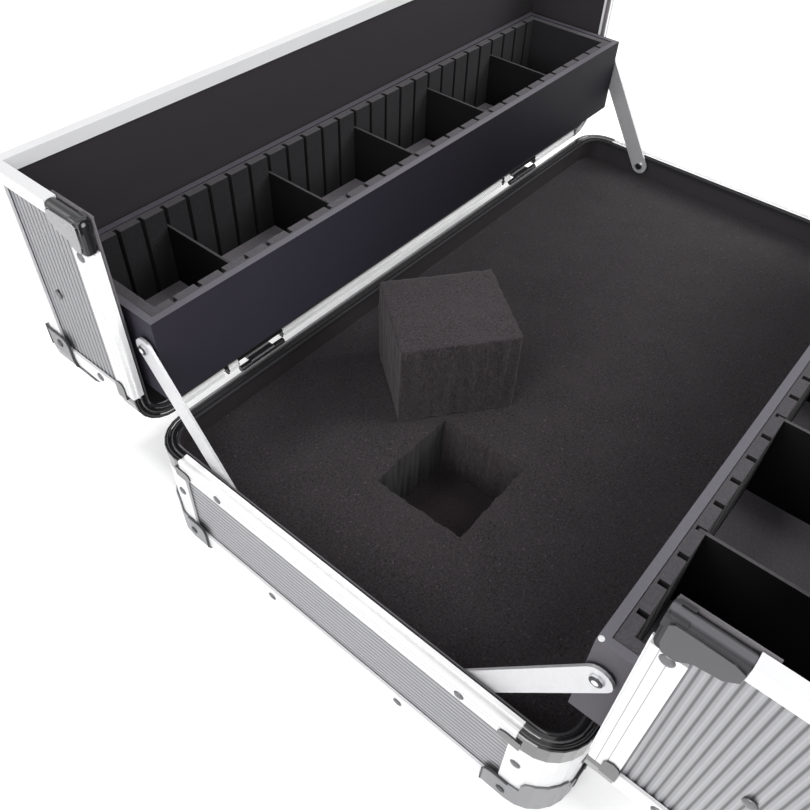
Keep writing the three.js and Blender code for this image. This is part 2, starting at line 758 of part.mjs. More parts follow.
function lidShell() {
  const outline = lidOutline(arc, LID_PANEL_END);
  const walls = panelWalls(outline, lidOutline(arc, LID_WIDTH + OVERRUN), LID_HEIGHT);
  const hingeSkin = wallRibs(HALF_LENGTH - CORNER_RADIUS, LID_HEIGHT);
  const endHalfRun = (LID_PANEL_END - CORNER_RADIUS) / 2;
  const endMiddle = (LID_PANEL_END + CORNER_RADIUS) / 2;
  const endSkin = wallRibs(endHalfRun, LID_HEIGHT).translate([0, -HALF_LENGTH, 0]);
  const leftSkin = turnedAboutZ(endSkin, 3).translate([0, endMiddle, 0]);
  const rightSkin = turnedAboutZ(endSkin, 1).translate([0, endMiddle, 0]);
  const broadEnd = LID_WIDTH - TRIM_DEPTH - FIT_GAP;
  const section = ribbedSection(EDGE_WIDTH + FIT_GAP, broadEnd);
  const face = -LID_HEIGHT + PANEL_INSET;
  const loops = [-HALF_LENGTH, HALF_LENGTH].map((x) =>
    section.map(([inset, y]) => [x, y, face - RIB_DEPTH + inset]),
  );
  const insideEdges = stack(
    [
      [EDGE_WIDTH + FIT_GAP, -LID_HEIGHT],
      [EDGE_WIDTH + FIT_GAP, 0],
    ],
    lidOutline(arc, broadEnd),
  );
  const broadSkin = skin(loops, false, section, section).intersect(insideEdges);
  return joinAll([walls, hingeSkin, leftSkin, rightSkin, broadSkin, lidStud(-1), lidStud(1)]);
}

function lidRimFrame() {
  const end = LID_WIDTH - GUARD_RIM_LEG - FIT_GAP;
  let frame = rimFrame(lidOutline(coveredArc, end), false, true);
  const axis = { y: -HINGE_OFFSET, z: RIM_GAP / 2 };
  for (const span of hingeSpans()) {
    const slotY = [-OVERRUN, PANEL_INNER];
    const slotZ = [-HINGE_SLOT_DEPTH, OVERRUN];
    frame = frame.subtract(box([span.start, slotY[0], slotZ[0]], [span.tabStart, slotY[1], slotZ[1]]));
    frame = frame.subtract(box([span.gapStart, slotY[0], slotZ[0]], [span.end, slotY[1], slotZ[1]]));
    const [x0, x1] = knuckles(span).middle;
    const leaf = box([x0, -HINGE_LEAF_THICKNESS, -HINGE_LEAF_HEIGHT], [x1, WELD, 0]);
    const barrel = rod(x0, x1, axis.y, axis.z, BARREL_RADIUS, BARREL_STEPS);
    const bore = rod(
      x0 - OVERRUN,
      x1 + OVERRUN,
      axis.y,
      axis.z,
      HINGE_PIN_RADIUS + HINGE_PIN_CLEARANCE,
      BARREL_STEPS,
    );
    frame = joinAll([frame, leaf, barrel]).subtract(bore);
  }
  return frame;
}

// The channel that closes the free edges of the three panels, from one guard to the other.
function freeEdgeTrim() {
  const channel = [
    [0, LID_WIDTH - TRIM_DEPTH],
    [0, LID_WIDTH],
    [RIM_WIDTH, LID_WIDTH],
    [RIM_WIDTH, LID_WIDTH - TRIM_DEPTH],
    [RIM_WIDTH - RIM_LIP_THICKNESS, LID_WIDTH - TRIM_DEPTH],
    [RIM_WIDTH - RIM_LIP_THICKNESS, LID_WIDTH - TRIM_WEB],
    [FLANGE_THICKNESS, LID_WIDTH - TRIM_WEB],
    [FLANGE_THICKNESS, LID_WIDTH - TRIM_DEPTH],
  ];
  const guardEnd = -GUARD_EDGE_LEG - FIT_GAP;
  const path = [
    { x: -HALF_LENGTH, z: guardEnd, nx: 1, nz: 0 },
    { x: -HALF_LENGTH, z: -LID_HEIGHT, nx: 1, nz: 1 },
    { x: HALF_LENGTH, z: -LID_HEIGHT, nx: -1, nz: 1 },
    { x: HALF_LENGTH, z: guardEnd, nx: -1, nz: 0 },
  ];
  const loops = path.map((s) => channel.map(([inset, y]) => [s.x + s.nx * inset, y, s.z + s.nz * inset]));
  const flat = channel.map(([inset, y]) => [inset, y]);
  return skin(loops, false, flat, flat);
}

function lidEdgeFrame() {
  const path = lidOutline(arc, LID_WIDTH - WELD);
  const angle = sweep(() => edgeProfile(LID_HEIGHT), path, false);
  const upright = cornerAngle(LID_HEIGHT);
  const left = atCorner(upright, 1, 1, -HALF_LENGTH, 0);
  const right = atCorner(upright, -1, 1, HALF_LENGTH, 0);
  return joinAll([angle, left, right, freeEdgeTrim()]);
}

// The round-backed channel of a corner guard, as [across, depth] pairs from the outer corner.
function guardChannel() {
  const half = RIM_WIDTH / 2;
  const crown = [];
  for (let i = 0; i <= ARC_STEPS; i += 1) {
    const angle = Math.PI * (1 - i / ARC_STEPS);
    crown.push([half + half * Math.cos(angle), GUARD_CROWN * (Math.sin(angle) - 1)]);
  }
  return [
    [0, -GUARD_WALL],
    ...crown,
    [RIM_WIDTH, -GUARD_WALL],
    [RIM_WIDTH - RIM_LIP_THICKNESS, -GUARD_WALL],
    [RIM_WIDTH - RIM_LIP_THICKNESS, -RIM_WEB],
    [FLANGE_THICKNESS, -RIM_WEB],
    [FLANGE_THICKNESS, -GUARD_WALL],
  ];
}

// The guard on the free corner at the left end: x inwards, y towards the hinge, z away from the rim.
function cornerGuard() {
  const channel = guardChannel();
  const alongRim = [0, GUARD_RIM_LEG].map((y) => channel.map(([across, depth]) => [across, y, depth]));
  const alongEdge = [0, GUARD_EDGE_LEG].map((z) => channel.map(([across, depth]) => [across, -depth, -z]));
  const rimLeg = skin(alongRim, false, channel, channel);
  const edgeLeg = skin(alongEdge, false, channel, channel);
  const [down, along] = [GUARD_RIM_LEG, GUARD_EDGE_LEG];
  const [narrow, round] = [GUARD_PLATE_NARROW, GUARD_PLATE_ROUND];
  const plate = [
    [GUARD_CROWN, -round],
    [round, -GUARD_CROWN],
    [down - round, -GUARD_CROWN],
    [down, -round],
    [down, -narrow],
    [down - round, -narrow - round],
    [narrow + round, -along + round],
    [narrow, -along],
    [round, -along],
    [GUARD_CROWN, -along + round],
  ];
  const panelRoom = box(
    [FLANGE_THICKNESS, TRIM_WEB, -GUARD_EDGE_LEG - OVERRUN],
    [RIM_WIDTH - RIM_LIP_THICKNESS, GUARD_RIM_LEG + OVERRUN, -RIM_WEB],
  );
  return joinAll([
    rimLeg,
    edgeLeg,
    slab(-GUARD_PLATE_THICKNESS, WELD, plate),
  ]).subtract(panelRoom);
}

function addLid(parent, side) {
  const lid = new THREE.Group();
  lid.rotation.x = QUARTER_TURN;
  lid.position.set(0, LID_RIM_Y, LID_OUTER_Z);
  const label = side + "_lid_";
  lid.add(piece(label + "shell", lidShell(), "ribbed_aluminium"));
  lid.add(piece(label + "rim_frame", lidRimFrame(), "bright_aluminium"));
  lid.add(piece(label + "edge_frame", lidEdgeFrame(), "bright_aluminium"));
  const cover = rimCornerCover();
  const cap = cornerCap(LID_HEIGHT);
  const guard = cornerGuard();
  for (const [sideName, signX] of [["left", -1], ["right", 1]]) {
    const hingeCorner = [-signX, 1, signX * HALF_LENGTH, 0];
    const freeCorner = [-signX, -1, signX * HALF_LENGTH, LID_WIDTH];
    lid.add(piece(label + "rim_corner_" + sideName, atCorner(cover, ...hingeCorner), "black_plastic"));
    lid.add(piece(label + "corner_cap_" + sideName, atCorner(cap, ...hingeCorner), "corner_steel"));
    lid.add(piece(label + "corner_guard_" + sideName, atCorner(guard, ...freeCorner), "black_plastic"));
  }
  parent.add(lid);
  return lid;
}

// Hinges: the leaf on the tub's outer face with its end knuckles and the pin

function addHinges(parent, side) {
  for (const span of hingeSpans()) {
    const { first, last } = knuckles(span);
    const leafY = [HALF_DEPTH + FIT_GAP, HALF_DEPTH + FIT_GAP + HINGE_LEAF_THICKNESS];
    const leaf = box([first[0], leafY[0], RIM_Z - HINGE_LEAF_HEIGHT], [last[1], leafY[1], HINGE_Z - BARREL_RADIUS]);
    const parts = [leaf, rod(first[0], last[1], HINGE_Y, HINGE_Z, HINGE_PIN_RADIUS, BARREL_STEPS)];
    for (const [x0, x1] of [first, last]) {
      parts.push(rod(x0, x1, HINGE_Y, HINGE_Z, BARREL_RADIUS, BARREL_STEPS));
      parts.push(box([x0, leafY[0], RIM_Z - HINGE_LEAF_HEIGHT], [x1, leafY[1], HINGE_Z]));
    }
    parent.add(piece(side + "_hinge_" + span.name, joinAll(parts), "hinge_steel"));
  }
}

// Struts, from the tub's end wall up to the tray's end wall

function strut(side) {
  const angle = Math.atan2(LINK_RISE, LINK_BACK);
  const outline = [];
  const half = STRUT_WIDTH / 2;
  for (const [pivot, start] of [
    [GROUND_PIVOT, angle + QUARTER_TURN],
    [TRAY_STRUT_PIVOT, angle - QUARTER_TURN],
  ]) {
    for (let i = 0; i <= STRUT_END_STEPS; i += 1) {
      const turn = start + (i / STRUT_END_STEPS) * Math.PI;
      outline.push([pivot.y + half * Math.cos(turn), pivot.z + half * Math.sin(turn)]);
    }
  }
  const ends = [side * STRUT_OUTER, side * STRUT_INNER].sort((a, b) => a - b);
  let bar = slab(ends[0], ends[1], outline);
  for (const pivot of [GROUND_PIVOT, TRAY_STRUT_PIVOT]) {
    const radius = STUD_PIN_RADIUS + STUD_CLEARANCE;
    bar = bar.subtract(rod(ends[0] - OVERRUN, ends[1] + OVERRUN, pivot.y, pivot.z, radius, STUD_STEPS));
  }
  return bar;
}

function addStruts(parent, side) {
  for (const [sideName, sign] of [["left", -1], ["right", 1]]) {
    parent.add(piece(side + "_strut_" + sideName, strut(sign), "satin_aluminium"));
  }
}

// Trays

function trayShell() {
  const [x, wall] = [TRAY_HALF_LENGTH, TRAY_WALL];
  let shell = box([-x, TRAY_FRONT, TRAY_BOTTOM], [x, TRAY_BACK, TRAY_TOP]);
  shell = shell.subtract(
    box([wall - x, TRAY_FRONT + wall, TRAY_BOTTOM + TRAY_FLOOR], [x - wall, TRAY_BACK - wall, TRAY_TOP + OVERRUN]),
  );
  for (const side of [-1, 1]) {
    shell = shell.add(trayStud(side));
    const ends = [side * (x + OVERRUN), side * (x - wall - OVERRUN)].sort((a, b) => a - b);
    const radius = STUD_PIN_RADIUS + STUD_CLEARANCE;
    shell = shell.subtract(rod(ends[0], ends[1], TRAY_LID_PIVOT.y, TRAY_LID_PIVOT.z, radius, STUD_STEPS));
  }
  return shell;
}

const LINER_OUTER = TRAY_WALL + FIT_GAP;
const LINER_INNER = LINER_OUTER + LINER_THICKNESS;

function slotPlaces() {
  const innerHalf = TRAY_HALF_LENGTH - LINER_INNER;
  const each = Math.floor((innerHalf - SLOT_WIDTH) / SLOT_PITCH);
  const places = [];
  for (let i = -each; i <= each; i += 1) places.push(i * SLOT_PITCH);
  return places;
}

// The foam ring that lines a tray, with slots down its long sides for the dividers.
function trayLiner() {
  const [outX, inX] = [TRAY_HALF_LENGTH - LINER_OUTER, TRAY_HALF_LENGTH - LINER_INNER];
  const ring = new THREE.Shape();
  ring.moveTo(-outX, TRAY_FRONT + LINER_OUTER);
  ring.lineTo(outX, TRAY_FRONT + LINER_OUTER);
  ring.lineTo(outX, TRAY_BACK - LINER_OUTER);
  ring.lineTo(-outX, TRAY_BACK - LINER_OUTER);
  const room = new THREE.Path();
  room.moveTo(-inX, TRAY_FRONT + LINER_INNER);
  for (const [y, out, way] of [
    [TRAY_FRONT + LINER_INNER, -1, 1],
    [TRAY_BACK - LINER_INNER, 1, -1],
  ]) {
    room.lineTo(-way * inX, y);
    for (const place of slotPlaces()) {
      const x = way * place;
      const half = (way * SLOT_WIDTH) / 2;
      room.lineTo(x - half, y);
      room.lineTo(x - half, y + out * SLOT_DEPTH);
      room.lineTo(x + half, y + out * SLOT_DEPTH);
      room.lineTo(x + half, y);
    }
    room.lineTo(way * inX, y);
  }
  ring.holes.push(room);
  const bottom = TRAY_BOTTOM + TRAY_FLOOR + FIT_GAP;
  const geometry = new THREE.ExtrudeGeometry(ring, {
    depth: TRAY_TOP - LINER_DROP - bottom,
    bevelEnabled: false,
  });
  geometry.translate(0, 0, bottom);
  return solidFrom(geometry);
}

function divider(x, height) {
  const half = DIVIDER_THICKNESS / 2;
  const inset = LINER_INNER - SLOT_DEPTH + DIVIDER_END_GAP;
  const bottom = TRAY_BOTTOM + TRAY_FLOOR + FIT_GAP;
  const [front, back, top] = [TRAY_FRONT + inset, TRAY_BACK - inset, bottom + height];
  const outline = [
    [front, bottom],
    [back, bottom],
    [back, top - DIVIDER_SCOOP],
    [back - DIVIDER_SCOOP, top],
    [front + DIVIDER_SCOOP, top],
    [front, top - DIVIDER_SCOOP],
  ];
  return slab(x - half, x + half, outline);
}

function addTray(parent, side) {
  parent.add(piece(side + "_tray_shell", trayShell(), "tray_board"));
  parent.add(piece(side + "_tray_liner", trayLiner(), "liner_foam"));
  DIVIDER_COUNTS[side].forEach((step, i) => {
    const x = step * SLOTS_PER_DIVIDER_COUNT * SLOT_PITCH;
    const solid = divider(x, DIVIDER_HEIGHTS[side]);
    parent.add(piece(side + "_tray_divider_" + (i + 1), solid, "divider_board"));
  });
}

// Latches and handle, in the lids' own axes: y from the hinge side, z outwards is negative

const LATCH_FACE = -LID_HEIGHT - FIT_GAP;
const LATCH_PIVOT_Z = -LID_HEIGHT - LATCH_PIVOT_RISE;
const LATCH_PIVOT_Y = LID_WIDTH - LATCH_PIVOT_INSET;
const LEVER_HALF_WIDTH = LATCH_WIDTH / 2 - LATCH_EAR_THICKNESS - FIT_GAP;

function latchPlate(x) {
  const half = LATCH_WIDTH / 2;
  const outer = LATCH_FACE - LATCH_PLATE_THICKNESS;
  const plate = box(
    [x - half, LID_WIDTH - LATCH_PLATE_LENGTH, outer],
    [x + half, LID_WIDTH - LID_MEETING_GAP, LATCH_FACE],
  );
  const parts = [plate, rod(x - half, x + half, LATCH_PIVOT_Y, LATCH_PIVOT_Z, LATCH_PIN_RADIUS, LATCH_STEPS)];
  for (const side of [-1, 1]) {
    const ends = [x + side * half, x + side * (half - LATCH_EAR_THICKNESS)].sort((a, b) => a - b);
    parts.push(rod(ends[0], ends[1], LATCH_PIVOT_Y, LATCH_PIVOT_Z, LATCH_EAR_RADIUS, LATCH_STEPS));
    parts.push(
      box(
        [ends[0], LATCH_PIVOT_Y - LATCH_EAR_RADIUS, LATCH_PIVOT_Z],
        [ends[1], LATCH_PIVOT_Y + LATCH_EAR_RADIUS, outer + WELD],
      ),
    );
  }
  return joinAll(parts);
}

// The lever hangs back on its own plate, with its hook turned outwards.
function latchLever(x) {
  const half = LEVER_HALF_WIDTH;
  const knuckle = rod(x - half, x + half, LATCH_PIVOT_Y, LATCH_PIVOT_Z, LEVER_KNUCKLE_RADIUS, LATCH_STEPS);
  const tip = LATCH_PIVOT_Y - LEVER_LENGTH;
  const tongue = box([x - half, tip, LATCH_PIVOT_Z], [x + half, LATCH_PIVOT_Y, LATCH_PIVOT_Z + LEVER_THICKNESS]);
  const hook = box(
    [x - half, tip, LATCH_PIVOT_Z - LEVER_HOOK_DEPTH],
    [x + half, tip + LEVER_HOOK_THICKNESS, LATCH_PIVOT_Z + WELD],
  );
  const bore = rod(
    x - half - OVERRUN,
    x + half + OVERRUN,
    LATCH_PIVOT_Y,
    LATCH_PIVOT_Z,
    LATCH_PIN_RADIUS + FIT_GAP,
    LATCH_STEPS,
  );
  return joinAll([knuckle, tongue, hook]).subtract(bore);
}

function latchCatch(x) {
  const half = LATCH_WIDTH / 2;
  const outer = LATCH_FACE - LATCH_PLATE_THICKNESS;
  const start = LID_WIDTH - CATCH_INSET;
  const plate = box([x - half, start - CATCH_LENGTH, outer], [x + half, start, LATCH_FACE]);
  const hookReach = LEVER_LENGTH - LEVER_HOOK_THICKNESS - LATCH_PIVOT_INSET - LID_MEETING_GAP;
  const lipEnd = LID_WIDTH - hookReach + FIT_GAP;
  const lip = box(
    [x - LEVER_HALF_WIDTH, lipEnd, -LID_HEIGHT - CATCH_LIP_RISE],
    [x + LEVER_HALF_WIDTH, lipEnd + CATCH_LIP_THICKNESS, outer + WELD],
  );
  return plate.add(lip);
}

const HANDLE_FACE = -LID_HEIGHT + PANEL_INSET - FIT_GAP - RIB_DEPTH;
const HANDLE_PIVOT_Y = LID_WIDTH - HANDLE_PIVOT_INSET;
const HANDLE_PIVOT_Z = HANDLE_FACE - HANDLE_PLATE_THICKNESS - HANDLE_PIVOT_RISE;

function handlePlate() {
  const half = HANDLE_SPAN / 2;
  const outer = HANDLE_FACE - HANDLE_PLATE_THICKNESS;
  const [y, z] = [HANDLE_PIVOT_Y, HANDLE_PIVOT_Z];
  const wide = HANDLE_PLATE_WIDTH / 2;
  let plate = box([-half, y - wide, outer], [half, y + wide, HANDLE_FACE]);
  for (const side of [-1, 1]) {
    const ends = [side * half, side * (half - HANDLE_EAR_WIDTH)].sort((a, b) => a - b);
    const radius = HANDLE_EAR_RADIUS;
    const ear = rod(ends[0], ends[1], y, z, radius, HANDLE_STEPS);
    const foot = box([ends[0], y - radius, z], [ends[1], y + radius, outer + WELD]);
    const bore = rod(
      ends[0] - OVERRUN,
      ends[1] + OVERRUN,
      y,
      z,
      HANDLE_PIN_RADIUS + HANDLE_PIN_CLEARANCE,
      HANDLE_STEPS,
    );
    plate = joinAll([plate, ear, foot]).subtract(bore);
  }
  return plate;
}

// The bail: trunnions, two arms and a thick grip, hanging towards the hinge side.
function handleBail() {
  const inner = HANDLE_SPAN / 2 - HANDLE_EAR_WIDTH - FIT_GAP;
  const armX = inner - HANDLE_BEND;
  const [y, z] = [HANDLE_PIVOT_Y, HANDLE_PIVOT_Z];
  const path = new THREE.CurvePath();
  const at = (x, drop) => new THREE.Vector3(x, y - drop, z);
  const bend = (a, b, c) => path.add(new THREE.QuadraticBezierCurve3(a, b, c));
  const line = (a, b) => path.add(new THREE.LineCurve3(a, b));
  line(at(-inner, 0), at(-armX - HANDLE_BEND + FIT_GAP, 0));
  const topStart = at(-armX - HANDLE_BEND + FIT_GAP, 0);
  bend(topStart, at(-armX, 0), at(-armX, HANDLE_BEND));
  line(at(-armX, HANDLE_BEND), at(-armX, HANDLE_ARM - HANDLE_BEND));
  bend(at(-armX, HANDLE_ARM - HANDLE_BEND), at(-armX, HANDLE_ARM), at(HANDLE_BEND - armX, HANDLE_ARM));
  line(at(HANDLE_BEND - armX, HANDLE_ARM), at(armX - HANDLE_BEND, HANDLE_ARM));
  bend(at(armX - HANDLE_BEND, HANDLE_ARM), at(armX, HANDLE_ARM), at(armX, HANDLE_ARM - HANDLE_BEND));
  line(at(armX, HANDLE_ARM - HANDLE_BEND), at(armX, HANDLE_BEND));
  bend(at(armX, HANDLE_BEND), at(armX, 0), at(armX + HANDLE_BEND - FIT_GAP, 0));
  const points = [];
  for (const curve of path.curves) {
    const steps = curve.isLineCurve3 ? 1 : HANDLE_BEND_STEPS;
    for (let i = points.length ? 1 : 0; i <= steps; i += 1) points.push(curve.getPoint(i / steps));
  }
  const loops = points.map((p, i) => {
    const before = points[Math.max(i - 1, 0)];
    const after = points[Math.min(i + 1, points.length - 1)];
    const along = after.clone().sub(before).normalize();
    const across = new THREE.Vector3(-along.y, along.x, 0);
    return Array.from({ length: HANDLE_STEPS }, (_, k) => {
      const angle = (k / HANDLE_STEPS) * 2 * Math.PI;
      const out = across.clone().multiplyScalar(Math.cos(angle) * HANDLE_ROD_RADIUS);
      return [p.x + out.x, p.y + out.y, p.z + Math.sin(angle) * HANDLE_ROD_RADIUS];
    });
  });
  const circle = Array.from({ length: HANDLE_STEPS }, (_, k) => {
    const angle = (k / HANDLE_STEPS) * 2 * Math.PI;
    return [Math.cos(angle), Math.sin(angle)];
  });
  const tube = skin(loops, false, circle, circle);
  const parts = [tube];
  for (const side of [-1, 1]) {
    const ends = [side * (HANDLE_SPAN / 2 - FIT_GAP), side * (inner - WELD)].sort((a, b) => a - b);
    parts.push(rod(ends[0], ends[1], y, z, HANDLE_PIN_RADIUS, HANDLE_STEPS));
  }
  const halfGrip = HANDLE_GRIP_LENGTH / 2;
  parts.push(rod(-halfGrip, halfGrip, y - HANDLE_ARM, z, HANDLE_GRIP_RADIUS, HANDLE_STEPS));
  return joinAll(parts);
}

function addLatches(frontLid, rearLid) {
  for (const [name, share] of Object.entries(LATCH_CENTRE_SHARES)) {
    const x = share * CASE_LENGTH;
    frontLid.add(piece("latch_plate_" + name, latchPlate(x), "latch_steel"));
    frontLid.add(piece("latch_lever_" + name, latchLever(x), "latch_steel"));
    rearLid.add(piece("latch_catch_" + name, latchCatch(x), "latch_steel"));
  }
}

// Assembly

const knifeCase = new THREE.Group();
addTub(knifeCase);
const lids = {};
for (const side of ["rear", "front"]) {
  const half = new THREE.Group();
  half.scale.y = side === "front" ? -1 : 1;
  lids[side] = addLid(half, side);
  addHinges(half, side);
  addStruts(half, side);
  addTray(half, side);
  knifeCase.add(half);
}
addLatches(lids.front, lids.rear);
lids.front.add(piece("handle_plate", handlePlate(), "latch_steel"));
lids.front.add(piece("handle_bail", handleBail(), "black_plastic"));

export default knifeCase;
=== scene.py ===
"""Looks of a hard knife case with two open lids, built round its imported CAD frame.

Everything is in metres and in the CAD frame: X along the hinges, Y to the rear lid, Z up.
"""

import math

import bmesh
import bpy
from mathutils import Matrix, Vector, noise


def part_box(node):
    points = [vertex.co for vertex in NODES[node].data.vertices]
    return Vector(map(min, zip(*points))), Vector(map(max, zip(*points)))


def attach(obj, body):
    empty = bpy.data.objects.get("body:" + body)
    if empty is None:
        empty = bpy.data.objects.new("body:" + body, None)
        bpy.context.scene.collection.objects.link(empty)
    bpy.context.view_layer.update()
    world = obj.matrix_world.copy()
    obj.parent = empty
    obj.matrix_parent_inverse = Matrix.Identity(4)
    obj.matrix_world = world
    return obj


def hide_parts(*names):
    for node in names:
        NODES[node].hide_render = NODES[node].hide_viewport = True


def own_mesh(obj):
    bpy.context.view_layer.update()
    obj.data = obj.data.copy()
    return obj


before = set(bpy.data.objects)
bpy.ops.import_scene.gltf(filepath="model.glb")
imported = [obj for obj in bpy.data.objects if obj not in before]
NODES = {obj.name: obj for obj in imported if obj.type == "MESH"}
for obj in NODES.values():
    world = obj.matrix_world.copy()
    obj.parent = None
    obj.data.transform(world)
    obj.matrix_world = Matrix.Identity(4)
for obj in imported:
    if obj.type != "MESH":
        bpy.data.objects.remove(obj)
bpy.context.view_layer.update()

MM = 0.001
UP = Vector((0, 0, 1))
LIDS = {"rear": 1, "front": -1}
ENDS = {"left": -1, "right": 1}

NOISE_SEED = 7
noise.seed_set(NOISE_SEED)

# The tub and the lids
HALF_LENGTH = 0.300
HALF_DEPTH = 0.174
CORNER_RADIUS = 0.028
RIM_Z = 0.0965
HINGE_Y, HINGE_Z = 0.176, 0.09675
LID_RIM_Y = 0.17625
LID_OUTER_Z = 0.09875
LID_WIDTH = 0.1735
LID_DEPTH = 0.095
PANEL_INNER = 0.0064
PANEL_MIDDLE = PANEL_INNER - 1 * MM
CAP_PROUD = 0.0015
RIB_PITCH = 4.6 * MM

# The linkage: struts on the tub, struts on the trays, trays in the lids
GROUND_PIVOT = (0.1025, 0.085)
STRUT_TOP = (0.1640, 0.1789)
TRAY_PIVOT_DEPTH, TRAY_PIVOT_ACROSS = 0.06125, 0.0919

# The trays: where their outer faces begin, the floor pads and the slots of the liners
TRAY_TOP = 0.2014
TRAY_UNDERSIDE = 0.134
TRAY_END = 0.284
TRAY_STUD_START = 0.2852
PAD_BOTTOM = 0.13665
PAD_HALF_LENGTH = 0.2722
PAD_DEPTHS = (0.1683, 0.2487)
SLOT_DEPTHS = ((0.1622, 0.1676), (0.2494, 0.2548))
SLOT_REACH = 0.262


# Materials


class Surface:
    """A principled material with helpers for procedural detail in object coordinates."""

    def __init__(self, name, colour, roughness, metallic=0.0, coat=0.0, specular=0.5):
        self.material = bpy.data.materials.new(name)
        self.material.use_nodes = True
        self.tree = self.material.node_tree
        self.shader = self.tree.nodes["Principled BSDF"]
        self.shader.inputs["Base Color"].default_value = (*colour, 1)
        self.shader.inputs["Roughness"].default_value = roughness
        self.shader.inputs["Metallic"].default_value = metallic
        self.shader.inputs["Coat Weight"].default_value = coat
        self.shader.inputs["Coat Roughness"].default_value = 0.08
        self.shader.inputs["Specular IOR Level"].default_value = specular
        self.colour = None
        self.height = None
        self.place = self.node("ShaderNodeTexCoord").outputs["Object"]

    def node(self, kind, **settings):
        made = self.tree.nodes.new(kind)
        for key, value in settings.items():
            setattr(made, key, value)
        return made

    def link(self, source, target):
        self.tree.links.new(source, target)

    def scaled_place(self, scale):
        """Object coordinates, drawn out or pressed along each axis."""
        mapping = self.node("ShaderNodeMapping")
        mapping.inputs["Scale"].default_value = scale
        self.link(self.place, mapping.inputs["Vector"])
        return mapping.outputs["Vector"]

    def noise(self, scale, detail=2.0, roughness=0.5, stretch=(1, 1, 1)):
        made = self.node("ShaderNodeTexNoise")
        made.inputs["Scale"].default_value = scale
        made.inputs["Detail"].default_value = detail
        made.inputs["Roughness"].default_value = roughness
        self.link(self.scaled_place(stretch), made.inputs["Vector"])
        return made.outputs["Fac"]

    def calc(self, operation, first, second=None):
        """The result of a math node on one or two numbers or sockets."""
        made = self.node("ShaderNodeMath", operation=operation)
        for socket, value in zip(made.inputs, (first, second)):
            if isinstance(value, (int, float)):
                socket.default_value = value
            elif value is not None:
                self.link(value, socket)
        return made.outputs["Value"]

    def spread(self, value, low, high, to_low=0.0, to_high=1.0):
        """Maps a value from low..high to to_low..to_high, held at both ends."""
        made = self.node("ShaderNodeMapRange")
        made.inputs["From Min"].default_value = low
        made.inputs["From Max"].default_value = high
        made.inputs["To Min"].default_value = to_low
        made.inputs["To Max"].default_value = to_high
        self.link(value, made.inputs["Value"])
        return made.outputs["Result"]

    def axis(self, name):
        """The place along X, Y or Z."""
        made = self.node("ShaderNodeSeparateXYZ")
        self.link(self.place, made.inputs["Vector"])
        return made.outputs[name]

    def off_middle(self, name):
        """The distance from the case's middle plane along X, Y or Z."""
        return self.calc("ABSOLUTE", self.axis(name))

    def reach(self, spans):
        """The length of the diagonal over two or three spans."""
        total = self.calc("MULTIPLY", spans[0], spans[0])
        for span in spans[1:]:
            total = self.calc("ADD", total, self.calc("MULTIPLY", span, span))
        return self.calc("SQRT", total)

    def paint(self, mask, colour):
        """Lays a colour over what is there, where the mask is 1."""
        mix = self.node("ShaderNodeMix", data_type="RGBA")
        if self.colour is None:
            mix.inputs["A"].default_value = self.shader.inputs["Base Color"].default_value
        else:
            self.link(self.colour, mix.inputs["A"])
        mix.inputs["B"].default_value = (*colour, 1)
        self.link(mask, mix.inputs["Factor"])
        self.colour = mix.outputs["Result"]
        self.link(self.colour, self.shader.inputs["Base Color"])

    def roughen(self, value, low, high):
        """Lets the roughness follow a texture, from low to high."""
        self.link(self.spread(value, 0.3, 0.7, low, high), self.shader.inputs["Roughness"])

    def raise_by(self, value, distance):
        """Adds a bump whose height is the value times the distance."""
        bump = self.node("ShaderNodeBump")
        bump.inputs["Strength"].default_value = 1.0
        bump.inputs["Distance"].default_value = distance
        self.link(value, bump.inputs["Height"])
        if self.height is not None:
            self.link(self.height, bump.inputs["Normal"])
        self.height = bump.outputs["Normal"]
        self.link(self.height, self.shader.inputs["Normal"])

    def round_edges(self, radius):
        """Softens sharp edges in the shading."""
        bevel = self.node("ShaderNodeBevel", samples=4)
        bevel.inputs["Radius"].default_value = radius
        self.height = bevel.outputs["Normal"]
        self.link(self.height, self.shader.inputs["Normal"])

    def away(self, value, centre):
        return self.calc("ABSOLUTE", self.calc("SUBTRACT", value, centre))

    def stripe(self, value, centre, half_width):
        """1 within half_width of the centre, with a soft edge."""
        return self.spread(self.away(value, centre), half_width * 0.6, half_width * 1.3, 1.0, 0.0)

    def band(self, value, centre, half_width):
        """1 within half_width of the centre, with a hard edge."""
        return self.spread(self.away(value, centre), half_width, half_width + 0.2 * MM, 1.0, 0.0)


